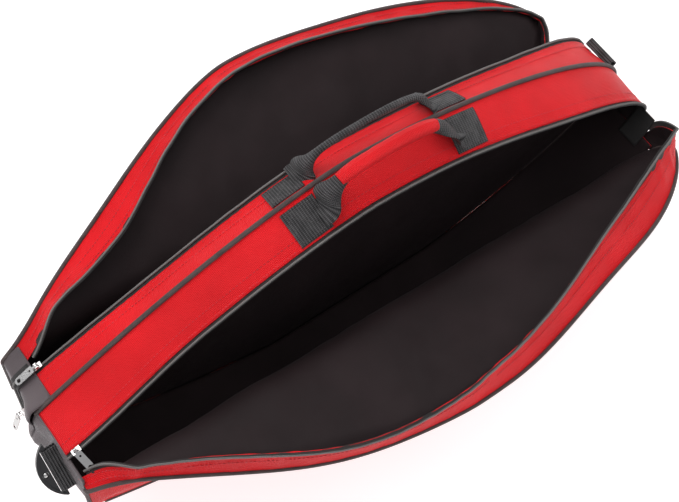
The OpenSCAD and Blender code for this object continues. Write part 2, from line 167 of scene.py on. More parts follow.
def ramp(u: Array) -> Array:
    """A quarter sine that rises from 0 to 1 over the sag's run."""
    return np.sin(np.pi / 2 * np.clip(u / SAG_RUN, 0, 1))


def smooth(u: Array) -> Array:
    """Smooth step from 0 to 1: three squares less two cubes of u."""
    u = np.clip(u, 0, 1)
    return u * u * (3 - 2 * u)


def bump(t: Array, centre: float, reach: float) -> Array:
    """1 at centre, falling along a cosine to 0 a reach away on either side."""
    return (1 + np.cos(np.pi * np.clip((np.asarray(t) - centre) / reach, -1, 1))) / 2


@dataclass(frozen=True)
class Ripple:
    """Soft wrinkles: a sum of plane waves with seeded directions and phases."""

    seed: int
    length: float = 60.0
    waves: int = 7
    slant: float = 1.0

    def __call__(self, u: Array, v: Array) -> Array:
        """Height of the wrinkles, roughly from -1 to 1.

        Args:
            u: distance along the cloth in millimetres.
            v: distance across it in millimetres.
        Returns:
            Heights of the same shape: each wave's sine, weaker where it is shorter.
        """
        rng = np.random.default_rng(self.seed)
        total = np.zeros(np.broadcast(u, v).shape)
        for _ in range(self.waves):
            scale = self.length * rng.uniform(0.35, 1.2)
            angle = rng.normal(0, self.slant)
            phase = rng.uniform(0, 2 * np.pi)
            k = 2 * np.pi / scale
            wave = np.sin(k * (u * math.cos(angle) + v * math.sin(angle)) + phase)
            total += wave * (scale / self.length) / self.waves * 1.6
        return total


# ------------------------------------------------------------------ meshes
def unit(v: Array) -> Array:
    """Vectors scaled to length one."""
    return v / np.maximum(np.linalg.norm(v, axis=-1, keepdims=True), 1e-9)


def run_along(path: Array) -> Array:
    """Distance along a path at each of its points: the running sum of its steps."""
    return np.concatenate([[0], np.cumsum(np.linalg.norm(np.diff(path, axis=0), axis=-1))])


def turn(points: Array, pivot: Array, axis: Array, angle: Array) -> Array:
    """Points turned about a line, by the right-hand rule.

    Args:
        points: ... x 3 array.
        pivot: a point on the line.
        axis: the line's unit direction.
        angle: radians, one for all or one for each point.
    Returns:
        The turned points, by Rodrigues' formula.
    """
    v = points - pivot
    c, s = np.cos(angle)[..., None], np.sin(angle)[..., None]
    along = (v @ axis)[..., None] * axis
    return pivot + along + c * (v - along) + s * np.cross(np.broadcast_to(axis, v.shape), v)


def grid_normals(p: Array) -> Array:
    """Unit normals of a grid of points: the cross product of its differences along i and j."""
    return unit(np.cross(np.gradient(p, axis=0), np.gradient(p, axis=1)))


def quads(n: int, m: int, wrap: bool = False, start: int = 0) -> Array:
    """Faces of an n x m grid whose points run row by row; wrap joins its last column to its first."""
    i = np.arange(n - 1)[:, None]
    j = np.arange(m if wrap else m - 1)[None, :]
    nxt = (j + 1) % m
    face = np.stack([i * m + j, (i + 1) * m + j, (i + 1) * m + nxt, i * m + nxt], -1)
    return face.reshape(-1, 4) + start


def arc_uv(p: Array, wrap: bool = False) -> Array:
    """UV of a grid in metres: distance along i on its middle line, and across j on each line.

    Across, it counts from the middle column, or from the first where the grid wraps.
    """
    u = run_along(p[:, p.shape[1] // 2])
    steps = np.linalg.norm(np.diff(p, axis=1), axis=-1)
    v = np.concatenate([np.zeros((len(p), 1)), np.cumsum(steps, 1)], 1)
    if not wrap:
        v = v - v[:, v.shape[1] // 2][:, None]
    return np.stack([np.broadcast_to(u[:, None], v.shape), v], -1) * MM


def make_object(name: str, verts: Array, faces: Sequence, uv: Array, finishes: Sequence[bpy.types.Material],
                material_index: Array | None = None) -> bpy.types.Object:
    """Puts arrays into a new mesh object.

    Args:
        name: the piece's name.
        verts: N x 3 array in millimetres.
        faces: list of index tuples, or an array of quads.
        uv: N x 2 array in metres, one for each vertex.
        finishes: the materials.
        material_index: one number for each face.
    Returns:
        The linked object, smooth shaded.
    """
    mesh = bpy.data.meshes.new(name)
    mesh.from_pydata((verts * MM).tolist(), [], faces.tolist() if isinstance(faces, np.ndarray) else faces)
    corner = np.zeros(len(mesh.loops), np.int32)
    mesh.loops.foreach_get("vertex_index", corner)
    layer = mesh.uv_layers.new(name="cloth")
    layer.data.foreach_set("uv", uv[corner].astype(np.float32).ravel())
    for finish in finishes:
        mesh.materials.append(finish)
    if material_index is not None:
        mesh.polygons.foreach_set("material_index", material_index.astype(np.int32))
    mesh.polygons.foreach_set("use_smooth", np.ones(len(mesh.polygons), bool))
    mesh.update()
    obj = bpy.data.objects.new(name, mesh)
    bpy.context.scene.collection.objects.link(obj)
    return obj


def sheet_arrays(outer: Array, inner: Array) -> Part:
    """A closed sheet between two grids of the same shape.

    Args:
        outer: the outer face, whose normals (d/di x d/dj) point out.
        inner: the inner face.
    Returns:
        Vertices, faces and UV. The faces are the outer grid's, as many of the inner grid's, and a band
        of quads round their edge.
    """
    n, m, _ = outer.shape
    count = n * m
    loop = np.concatenate([np.arange(m), np.arange(1, n) * m + m - 1,
                           (n - 1) * m + np.arange(m - 2, -1, -1), np.arange(n - 2, 0, -1) * m])
    after = np.roll(loop, -1)
    edge = np.stack([loop, after, after + count, loop + count], -1)
    faces = np.concatenate([quads(n, m), quads(n, m, start=count)[:, ::-1], edge])
    uv = np.concatenate([arc_uv(outer).reshape(-1, 2)] * 2)
    return np.concatenate([outer.reshape(-1, 3), inner.reshape(-1, 3)]), faces, uv


def slab(name: str, outer: Array, inner: Array, finishes: Sequence[bpy.types.Material]) -> bpy.types.Object:
    """A closed sheet as an object.

    Args:
        name: the piece's name.
        outer: the outer face, whose normals (d/di x d/dj) point out.
        inner: the inner face.
        finishes: the outer face's material, which the edges take too, then the inner face's.
    Returns:
        The object.
    """
    verts, faces, uv = sheet_arrays(outer, inner)
    face_count = (outer.shape[0] - 1) * (outer.shape[1] - 1)
    index = np.zeros(len(faces))
    index[face_count:2 * face_count] = 1
    return make_object(name, verts, faces, uv, finishes, index)


def strip_slab(name: str, points: Array, way: Array, thick: float,
               finishes: Sequence[bpy.types.Material]) -> bpy.types.Object:
    """A strip of lined cloth under a grid of points.

    Args:
        name: the piece's name.
        points: the outer face.
        way: N x 1 x 3 rough outward directions, to tell the outer face.
        thick: the cloth's thickness.
        finishes: outer and inner materials.
    Returns:
        The closed strip.
    """
    normal = grid_normals(points)
    if (normal * way).sum() < 0:
        points = points[:, ::-1]
        normal = grid_normals(points)
    return slab(name, points, points - thick * normal, finishes)


def tube_arrays(path: Array, side: Array, section: Array) -> Part:
    """A closed tube carried along a path.

    Args:
        path: N x 3 points.
        side: N x 3 unit vectors across the path, the section's first axis.
        section: N x K x 2 or K x 2 points of the section, turning from side towards up.
    Returns:
        Vertices, faces (with a fan's worth of one polygon at each end) and UV.
    """
    along = unit(np.gradient(path, axis=0))
    side = unit(side - (side * along).sum(-1, keepdims=True) * along)
    up = np.cross(side, along)
    section = np.broadcast_to(section, (len(path),) + section.shape[-2:])
    rings = path[:, None] + section[..., :1] * side[:, None] + section[..., 1:] * up[:, None]
    n, k = rings.shape[:2]
    faces = quads(n, k, wrap=True)[:, ::-1].tolist()
    faces += [list(range(k)), list(range((n - 1) * k + k - 1, (n - 1) * k - 1, -1))]
    girth = np.linspace(0, 2 * np.pi * np.abs(section).max(), k, endpoint=False)
    uv = np.stack(np.broadcast_arrays(run_along(path)[:, None], girth[None, :]), -1)
    return rings.reshape(-1, 3), faces, uv.reshape(-1, 2) * MM


def ring_section(rx: float, rz: float, k: int) -> Array:
    """An ellipse of k points."""
    a = np.linspace(0, 2 * np.pi, k, endpoint=False)
    return np.stack([rx * np.cos(a), rz * np.sin(a)], -1)


def resample(path: Array, step: float) -> tuple[Array, Array]:
    """A path at even spacing.

    Args:
        path: N x 3 points.
        step: spacing in millimetres.
    Returns:
        The new points, and their distances along the path.
    """
    run = run_along(path)
    count = max(int(run[-1] / step), 2) + 1
    s = np.linspace(0, run[-1], count)
    return along_path(s, run, path), s


def along_path(s: Array, run: Array, values: Array) -> Array:
    """Vectors known at distances run, read at distances s by straight interpolation."""
    return np.stack([np.interp(s, run, values[:, k]) for k in range(3)], -1)


def soften(path: Array, passes: int) -> Array:
    """Rounds a path: each pass moves inner points halfway to the mean of their neighbours."""
    out = path.copy()
    for _ in range(passes):
        out[1:-1] = (out[:-2] + 2 * out[1:-1] + out[2:]) / 4
    return out


def join(name: str, parts: Sequence[Part], finishes: Sequence[bpy.types.Material]) -> bpy.types.Object:
    """One object from several parts; each takes the finish of its own number, or the last one."""
    verts, faces, uvs, index, start = [], [], [], [], 0
    for number, (v, f, uv) in enumerate(parts):
        verts.append(v)
        uvs.append(uv)
        faces.extend([int(a) + start for a in face] for face in f)
        index.append(np.full(len(f), min(number, len(finishes) - 1)))
        start += len(v)
    return make_object(name, np.concatenate(verts), faces, np.concatenate(uvs), finishes,
                       np.concatenate(index))


def seat(obj: bpy.types.Object, slot: str, *nodes: str) -> bpy.types.Object:
    """Seats a piece on the carcass and hides the nodes it stands for; slot is not used."""
    if nodes:
        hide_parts(*nodes)
    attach(obj, "carcass")
    return obj


def stitch_row(path: Array, normal: Array, pitch: float = 4.2, length: float = 2.7,
               radius: float = 0.38) -> Part:
    """A row of thread stitches: one small spindle, copied along a path as whole arrays.

    Args:
        path: N x 3 points just above the cloth.
        normal: N x 3 normals of the cloth there.
        pitch: distance from stitch to stitch.
        length: length of a stitch.
        radius: radius of the thread.
    Returns:
        Vertices, faces and UV of all the stitches.
    """
    points, s = resample(path, pitch)
    up = unit(along_path(s, run_along(path), normal))
    along = unit(np.gradient(points, axis=0))
    across = np.cross(along, up)
    x = np.array([-0.5, -0.36, 0.36, 0.5]) * length
    r = np.array([0.25, 1.0, 1.0, 0.25]) * radius
    a = np.linspace(0, 2 * np.pi, 5, endpoint=False)
    local = np.stack(np.broadcast_arrays(x[:, None], r[:, None] * np.cos(a), r[:, None] * np.sin(a)), -1)
    local = local.reshape(-1, 3)
    verts = (points[:, None] + local[:, :1] * along[:, None] + local[:, 1:2] * across[:, None]
             + local[:, 2:] * up[:, None])
    k = len(local)
    body = quads(4, 5, wrap=True).tolist() + [[4, 3, 2, 1, 0], [15, 16, 17, 18, 19]]
    faces = [[c + k * i for c in f] for i in range(len(points)) for f in body]
    uv = np.repeat(np.stack([s, s * 0], -1), k, 0) * MM
    return verts.reshape(-1, 3), faces, uv


# ------------------------------------------------------------------ finishes
class Graph:
    """A short way to wire a material's nodes."""

    def __init__(self, name: str) -> None:
        """Starts an empty Principled material of that name."""
        self.material = bpy.data.materials.new(name)
        self.material.use_nodes = True
        self.tree = self.material.node_tree
        self.bsdf = self.tree.nodes["Principled BSDF"]

    def node(self, kind: str, **values: object) -> bpy.types.Node:
        """A new node, with its properties and inputs set by name."""
        made = self.tree.nodes.new(kind)
        for key, value in values.items():
            if hasattr(made, key):
                setattr(made, key, value)
            else:
                made.inputs[key.replace("_", " ")].default_value = value
        return made

    def link(self, a: bpy.types.NodeSocket, b: bpy.types.NodeSocket) -> None:
        """Wires a to b."""
        self.tree.links.new(a, b)

    def math(self, operation: str, a: object, b: object = None) -> bpy.types.NodeSocket:
        """A Math node's result; a and b are sockets or numbers."""
        made = self.tree.nodes.new("ShaderNodeMath")
        made.operation = operation
        for k, value in enumerate((a, b)):
            if isinstance(value, bpy.types.NodeSocket):
                self.link(value, made.inputs[k])
            elif value is not None:
                made.inputs[k].default_value = value
        return made.outputs[0]

    def uv(self) -> tuple[bpy.types.NodeSocket, bpy.types.NodeSocket]:
        """The piece's own UV, in metres, as two sockets."""
        source = self.node("ShaderNodeUVMap", uv_map="cloth")
        split = self.node("ShaderNodeSeparateXYZ")
        self.link(source.outputs[0], split.inputs[0])
        return split.outputs[0], split.outputs[1]

    def noise(self, scale: float, detail: float = 3.0) -> bpy.types.NodeSocket:
        """Noise over Object coordinates, from 0 to 1."""
        place = self.node("ShaderNodeTexCoord")
        made = self.node("ShaderNodeTexNoise", Scale=scale, Detail=detail)
        self.link(place.outputs["Object"], made.inputs["Vector"])
        return made.outputs["Fac"]

    def ramp(self, value: bpy.types.NodeSocket, stops: Sequence[tuple[float, tuple]]) -> bpy.types.NodeSocket:
        """A colour ramp over value."""
        made = self.tree.nodes.new("ShaderNodeValToRGB")
        bar = made.color_ramp
        while len(bar.elements) < len(stops):
            bar.elements.new(0.5)
        for element, (place, colour) in zip(bar.elements, stops):
            element.position = place
            element.color = (*colour, 1)
        self.link(value, made.inputs[0])
        return made.outputs[0]

    def bump(self, height: bpy.types.NodeSocket, distance: float, strength: float = 1.0,
             under: bpy.types.NodeSocket | None = None) -> bpy.types.NodeSocket:
        """A bump over another normal; distance is in metres."""
        made = self.node("ShaderNodeBump", Strength=strength, Distance=distance)
        self.link(height, made.inputs["Height"])
        if under is not None:
            self.link(under, made.inputs["Normal"])
        return made.outputs[0]

    def scale(self, value: bpy.types.NodeSocket, low: float, high: float) -> bpy.types.NodeSocket:
        """Value, from 0 to 1, mapped to low..high."""
        return self.math("ADD", self.math("MULTIPLY", value, high - low), low)

    def wave(self, value: bpy.types.NodeSocket, rate: float) -> bpy.types.NodeSocket:
        """The sine of rate times value."""
        return self.math("SINE", self.math("MULTIPLY", value, rate))

    def coat(self, colour: bpy.types.NodeSocket, roughness: bpy.types.NodeSocket,
             normal: bpy.types.NodeSocket, **values: object) -> bpy.types.Material:
        """Wires the surface and sets its other inputs by name.

        Args:
            colour: the base colour.
            roughness: from 0 to 1.
            normal: the last bump's result.
            values: further inputs, with _ for each blank in their names.
        Returns:
            The finished material.
        """
        for name, socket in (("Base Color", colour), ("Roughness", roughness), ("Normal", normal)):
            self.link(socket, self.bsdf.inputs[name])
        for name, value in values.items():
            self.bsdf.inputs[name.replace("_", " ")].default_value = value
        return self.material


@dataclass(frozen=True)
class WovenCloth:
    """Coated cloth with a diamond weave, a soft sheen and slow shifts of tone."""

    name: str
    dark: Colour
    light: Colour
    pitch: float = 0.0033
    depth: float = 0.00022
    roughness: tuple[float, float] = (0.38, 0.55)
    sheen: float = 0.25
    sheen_tint: Colour = (1.0, 0.6, 0.62)
    specular: float = 0.5

    def make(self) -> bpy.types.Material:
        """The weave is the product of two diagonal sine waves of the UV."""
        g = Graph(self.name)
        u, v = g.uv()
        k = 2 * math.pi / self.pitch
        weave = g.math("MULTIPLY", g.wave(g.math("ADD", u, v), k), g.wave(g.math("SUBTRACT", u, v), k))
        fine = g.math("MULTIPLY", g.wave(u, k * 3.0), g.wave(v, k * 3.0))
        height = g.math("ADD", weave, g.math("MULTIPLY", fine, 0.35))
        tone = g.math("ADD", g.math("MULTIPLY", weave, 0.10), g.noise(14.0))
        folds = g.bump(g.noise(60.0, 4.0), 0.0012, 0.35)
        return g.coat(g.ramp(tone, [(0.25, self.dark), (0.75, self.light)]),
                      g.scale(g.noise(45.0), *self.roughness), g.bump(height, self.depth, 0.9, folds),
                      Sheen_Weight=self.sheen, Sheen_Roughness=0.35, Sheen_Tint=(*self.sheen_tint, 1),
                      Specular_IOR_Level=self.specular)


@dataclass(frozen=True)
class RibbedCloth:
    """Webbing, tape and wrapped cord: ribs at a slant to the UV, with a hard, slightly shiny thread."""

    name: str
    dark: Colour
    light: Colour
    pitch: float = 0.0030
    slant: float = 0.0
    depth: float = 0.0005
    roughness: tuple[float, float] = (0.45, 0.65)
    sheen: float = 0.15

    def make(self) -> bpy.types.Material:
        """The ribs are a sine wave of u plus slant times v, crossed by a finer one of v."""
        g = Graph(self.name)
        u, v = g.uv()
        k = 2 * math.pi / self.pitch
        rib = g.wave(g.math("ADD", u, g.math("MULTIPLY", v, self.slant)), k)
        yarn = g.wave(v, k * 1.7)
        height = g.math("ADD", rib, g.math("MULTIPLY", yarn, 0.3))
        tone = g.math("ADD", g.math("MULTIPLY", g.math("ADD", rib, yarn), 0.24), g.noise(90.0))
        return g.coat(g.ramp(tone, [(0.2, self.dark), (0.8, self.light)]),
                      g.scale(g.noise(160.0), *self.roughness), g.bump(height, self.depth, 0.9),
                      Sheen_Weight=self.sheen, Sheen_Roughness=0.4)


@dataclass(frozen=True)
class HardFinish:
    """Metal or moulded plastic, with faint rubbing marks."""

    name: str
    colour: Colour
    metallic: float
    roughness: tuple[float, float]
    grain: float = 400.0
    depth: float = 0.00004

    def make(self) -> bpy.types.Material:
        """Fine noise varies the tone, the roughness and the height."""
        g = Graph(self.name)
        dark = tuple(0.9 * c for c in self.colour)
        return g.coat(g.ramp(g.noise(60.0), [(0.3, dark), (0.7, self.colour)]),
                      g.scale(g.noise(self.grain), *self.roughness),
                      g.bump(g.noise(self.grain), self.depth, 0.5), Metallic=self.metallic)


class Wardrobe:
    """Every finish of the bag, made once."""

    def __init__(self) -> None:
        """Makes the materials."""
        self.red = WovenCloth("red_cloth", (0.64, 0.002, 0.006), (0.84, 0.006, 0.012), depth=0.0004,
                              roughness=(0.38, 0.52), sheen=0.03, sheen_tint=(1.0, 0.45, 0.5),
                              specular=0.28).make()
        self.lining = WovenCloth("lining_cloth", (0.010, 0.0045, 0.005), (0.019, 0.010, 0.011), pitch=0.0018,
                                 depth=0.0001, roughness=(0.55, 0.75), sheen=0.03,
                                 sheen_tint=(0.8, 0.72, 0.75), specular=0.25).make()
        self.cap = WovenCloth("cap_cloth", (0.062, 0.046, 0.050), (0.11, 0.085, 0.090), pitch=0.002,
                              depth=0.00015, roughness=(0.45, 0.6), sheen=0.2,
                              sheen_tint=(0.9, 0.85, 0.87)).make()
        self.webbing = RibbedCloth("webbing", (0.004, 0.0035, 0.004), (0.085, 0.080, 0.082), depth=0.0008,
                                   sheen=0.04).make()
        self.piping = RibbedCloth("piping_cloth", (0.035, 0.022, 0.021), (0.095, 0.068, 0.064), pitch=0.0016,
                                  slant=0.7, depth=0.00025, sheen=0.05).make()
        self.tape = RibbedCloth("zip_tape", (0.008, 0.007, 0.007), (0.024, 0.020, 0.019), pitch=0.0012,
                                depth=0.0002, sheen=0.04).make()
        self.coil = HardFinish("zip_coil", (0.13, 0.12, 0.115), 0.0, (0.28, 0.4)).make()
        self.thread = RibbedCloth("red_thread", (0.42, 0.008, 0.016), (0.62, 0.03, 0.045), pitch=0.0007,
                                  slant=1.0, depth=0.0001).make()
        self.dark_thread = RibbedCloth("dark_thread", (0.03, 0.027, 0.028), (0.09, 0.085, 0.085),
                                       pitch=0.0007, slant=1.0, depth=0.0001).make()
        self.metal = HardFinish("bright_metal", (0.58, 0.57, 0.56), 1.0, (0.16, 0.30)).make()
        self.plastic = HardFinish("ring_plastic", (0.020, 0.019, 0.020), 0.0, (0.24, 0.38)).make()


# ------------------------------------------------------------------ the bag
@dataclass(frozen=True)
class Compartment:
    """One compartment's sizes, its zip line and the fold line of its cover, in millimetres.

    Args:
        side: which side of the divider it lies on.
        depth: distance from the divider's plane to the wall's.
        opening: how far the cover is folded out, in degrees.
        zip_from, zip_to: places on the rim where the zip begins and ends.
        zip_y: distance of the shut zip's middle from the divider.
        zip_drop: how far the strips sag at the zip.
        cap_to: place on the rim where the end cap stops.
        flares: size, start and end place of each swing of the zip line away from the divider.
        sag_end: run of rim over which the sag fades out at the head.
        rolls: degrees, centre and reach along the rim of each further turn of the cover's strip.
        pushes: size, centre and reach along the fold line, as shares of it, of each bulge of the cover.
        widths: share, centre and reach along the rim of each widening of the cover's strip.
        bend_r: radius of the fold.
        slump: height up the cover over which a push grows.
        slack: share of the swing that the cover's strip takes up.
        zip_slot: width of the shut zip's teeth.
        tape_w: width of each tape.
        profile: power by which the top strip's sag grows from the piping to the zip.
        cover_profile: the same for the cover's strip, from the panel's edge to the zip.
        turn_run: run of rim over which the cover's turn fades at the zip's ends.
        blend_reach: half the width of a band across the fold line, which attach works out but does not use.
    """

    side: Side
    depth: float
    opening: float
    zip_from: float
    zip_to: float
    zip_y: float
    zip_drop: float
    cap_to: float
    flares: Bumps
    sag_end: float
    rolls: Bumps
    pushes: Bumps
    widths: Bumps
    bend_r: float = 30.0
    slump: float = 100.0
    slack: float = 0.4
    zip_slot: float = 4.0
    tape_w: float = 7.0
    profile: float = 1.35
    cover_profile: float = 1.15
    turn_run: float = 0.13
    blend_reach: float = 24.0

    @property
    def name(self) -> str:
        """far or near."""
        return self.side.name.lower()

    @property
    def sign(self) -> int:
        """Sign of the compartment's Y."""
        return self.side.value

    def swing(self, t: Array) -> Array:
        """How far the zip line has swung out at t: each flare grows along half a cosine from start to end."""
        out = np.zeros(np.shape(t))
        for size, start, end in self.flares:
            u = np.clip((np.asarray(t) - start) / (end - start), 0, 1)
            out = out + size * (1 - np.cos(np.pi * u)) / 2
        return out

    def edge(self, t: Array) -> Array:
        """Distance of the inner zip half's free edge from the divider."""
        return self.zip_y - self.zip_slot / 2 + self.swing(t)

    def root(self, t: Array) -> Array:
        """Distance of the inner zip half's seam from the divider."""
        return self.edge(t) - self.tape_w

    def cover_edge(self, t: Array) -> Array:
        """Distance of the outer zip half's free edge from the divider, at the shut pose."""
        return self.edge(t) + self.zip_slot - self.slack * self.swing(t) * (np.asarray(t) > 1.0)

    def cover_root(self, t: Array) -> Array:
        """Distance of the outer zip half's seam from the divider, at the shut pose."""
        return self.cover_edge(t) + self.tape_w

    @property
    def pivot(self) -> Array:
        """Start of the fold line."""
        p = outline(np.array(self.zip_from))
        return np.array([p[0], self.sign * self.depth, p[1]])

    @property
    def along(self) -> Array:
        """Unit direction of the fold line, towards the head."""
        p, q = outline(np.array(self.zip_from)), outline(np.array(self.zip_to))
        return unit(np.array([q[0] - p[0], 0.0, q[1] - p[1]]))

    @property
    def up(self) -> Array:
        """Unit direction from the fold line up the shut cover."""
        a = self.along
        return np.array([-a[2], 0.0, a[0]])

    @property
    def angle(self) -> float:
        """How far the cover is folded out, in radians."""
        return math.radians(self.opening)

    def sag(self, t: Array) -> Array:
        """Sag of the strips at the zip line."""
        return self.zip_drop * ramp(t - self.zip_from) * smooth((self.zip_to - t) / self.sag_end)

    def top(self, t: Array, y: Array, lift: Array = 0.0) -> Array:
        """Points over the top strip, y from the divider: the sag grows as a power of y up to the seam."""
        share = np.clip(np.abs(y) / self.root(t), 0, 1) ** self.profile
        return rim(t, self.sign * np.abs(y), self.sag(t) * share - lift)

    def bend(self, points: Array) -> Array:
        """Points near the shut wall's plane, with the part above the fold line folded out.

        Args:
            points: ... x 3 array at the shut pose.
        Returns:
            Points whose height above the fold line runs along a circular arc, then along the open
            cover's plane, which is the CAD cover's but for the pushes.
        """
        out = np.array([0.0, float(self.sign), 0.0])
        v = points - self.pivot
        c, d, o = v @ self.along, v @ self.up, v @ out
        a, r = self.angle, self.bend_r
        h = r * math.tan(a / 2)
        phi = np.clip((d + h) / (2 * h), 0, 1) * a
        past = np.maximum(d - h, 0)
        span = np.linalg.norm(outline(np.array(self.zip_to)) - outline(np.array(self.zip_from)))
        push = sum(size * bump(c / span, centre, reach) for size, centre, reach in self.pushes)
        push = push * smooth(past / self.slump)
        flat = past + push
        bent_d = -h + (r - o) * np.sin(phi) + flat * math.cos(a) - push * math.sin(a)
        bent_o = r - (r - o) * np.cos(phi) + flat * math.sin(a) + push * math.cos(a)
        new_d = np.where(d < -h, d, bent_d)
        new_o = np.where(d < -h, o, bent_o)
        return self.pivot + c[..., None] * self.along + new_d[..., None] * self.up + new_o[..., None] * out

    def cover(self, t: Array, y: Array, drop: Array) -> Array:
        """Points of the cover's strip: hung from the folded edge and turned with it.

        Args:
            t: places along the rim.
            y: distance from the divider at the shut pose.
            drop: how far the strip sags there.
        Returns:
            The open points. Towards the zip's ends the turn fades out, so that the strip meets the cap.
        """
        shut = rim(t, self.sign * np.abs(y), drop)
        base_shut = np.broadcast_to(rim(t, self.sign * self.depth, 0.0), shut.shape)
        base = self.bend(base_shut)
        fade = smooth((t - self.zip_from) / self.turn_run) * smooth((self.zip_to - t) / self.turn_run)
        rolled = sum(math.radians(size) * bump(t, centre, reach) for size, centre, reach in self.rolls)
        wider = 1 + sum(size * bump(t, centre, reach) for size, centre, reach in self.widths)
        angle = np.broadcast_to(self.angle * fade + rolled * fade, shut.shape[:-1])
        hung = (shut - base_shut) * np.broadcast_to(wider, shut.shape[:-1])[..., None]
        return turn(hung + base, base, self.along, -self.sign * angle)

    def attach(self, obj: bpy.types.Object) -> None:
        """Bakes a piece's transform into its mesh; the reach across the fold line is worked out but not used.
        """
        a = self.angle
        across = unit(self.up * (1 + math.cos(a)) + np.array([0.0, self.sign * math.sin(a), 0.0]))
        reach = self.blend_reach * across
        f"cover_{self.name}"
        tuple((self.pivot - reach) * MM)
        tuple((self.pivot + reach) * MM)
        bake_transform(obj)


FAR = Compartment(Side.FAR, depth=68.0, opening=62.0, zip_from=0.05, zip_to=2.3, zip_y=38.5, zip_drop=14.0,
                  cap_to=0.04, flares=((12.0, 1.45, 1.85), (5.0, 1.15, 1.6)), sag_end=1.0,
                  rolls=((-22.0, 0.4, 0.45), (-20.0, 1.6, 0.4)),
                  pushes=((-5.0, 0.15, 0.2), (6.0, 0.5, 0.22)),
                  widths=((0.3, 0.4, 0.4),))
NEAR = Compartment(Side.NEAR, depth=88.0, opening=87.0, zip_from=0.0, zip_to=2.1, zip_y=50.5, zip_drop=20.0,
                   cap_to=-0.01, flares=((12.0, 0.45, 0.0), (8.0, 1.2, 1.6)), sag_end=0.8,
                   rolls=((44.0, 0.62, 0.85), (-25.0, 1.7, 0.4)),
                   pushes=((9.0, 0.24, 0.3), (-8.0, 0.77, 0.22)),
                   widths=((0.5, 1.7, 0.45),))


@dataclass
class Wall:
    """A padded outer wall and its folded-out cover: cloth, foam and lining in one bent shell."""

    room: Compartment
    wardrobe: Wardrobe
    columns: int = 150
    rows: int = 56
    cloth: float = 1.6
    pad: float = 5.4
    bow: float = 5.0
    hem: float = 22.0

    def shut(self) -> tuple[Array, Array]:
        """The wall before it is folded.

        Returns:
            Grid of points at the shut pose, and 0 at the outline rising to 1 inside the hem. Rows
            divide each column from the lower outline up, closer together at both ends.
        """
        x, half = columns(self.columns, 0.0, 0.994)
        low = np.maximum(AXIS_H - half, 0)
        high = AXIS_H + half
        w = (1 - np.cos(np.linspace(0, np.pi, self.rows))) / 2
        z = low[:, None] + (high - low)[:, None] * w
        px = np.broadcast_to(x[:, None], z.shape)
        p = np.stack([px, np.full(z.shape, float(self.room.sign) * self.room.depth), z], -1)
        rim_gap = np.minimum(z - low[:, None], high[:, None] - z)
        end_gap = np.minimum(px + CROWN_X, (CROWN_X - px) * 1.2)
        return p, smooth(np.minimum(rim_gap, end_gap) / self.hem)

    def build(self) -> bpy.types.Object:
        """The shell: bowed and wrinkled inside its outline, then folded out along the cover's line."""
        room = self.room
        shut, swell = self.shut()
        sign = float(room.sign)
        d = (shut - room.pivot) @ room.up
        ripple = Ripple(11 + int(room.depth), 150.0, slant=0.9)(shut[..., 0], shut[..., 2])
        fine = Ripple(31 + int(room.depth), 55.0, slant=1.3)(shut[..., 0], shut[..., 2])
        out = swell * (self.bow * smooth(-d / 60.0) + 1.6 * ripple + 0.5 * fine - 3.0 * smooth(d / 80.0))
        thick = self.cloth + (self.pad - self.cloth) * swell
        outer = shut + (out * sign)[..., None] * Y_AXIS
        inner = outer - (thick * sign)[..., None] * Y_AXIS
        outer, inner = room.bend(outer), room.bend(inner)
        if sign > 0:
            outer, inner = outer[:, ::-1], inner[:, ::-1]
        obj = slab(f"wall_{room.name}", outer, inner, [self.wardrobe.red, self.wardrobe.lining])
        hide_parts(*[f"{part}_{room.name}_{layer}" for part in ("wall", "cover")
                           for layer in ("cloth", "foam", "lining")])
        room.attach(obj)
        return obj

    def piping(self) -> bpy.types.Object:
        """The covered cord round the wall's edge: a thin tube on the folded outline, closed on itself."""
        room = self.room
        t = places(-0.97, 3.96, 0.008)
        path = soften(room.bend(rim(t, room.sign * (room.depth - 1.0), -0.6)), 6)
        path[:, 2] = np.maximum(path[:, 2], 2.3)
        across = np.broadcast_to(Y_AXIS, path.shape)
        obj = join(f"piping_{room.name}", [tube_arrays(path, across, ring_section(2.3, 2.3, 10))],
                   [self.wardrobe.piping])
        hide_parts(f"wall_{room.name}_piping", f"cover_{room.name}_piping")
        room.attach(obj)
        return obj


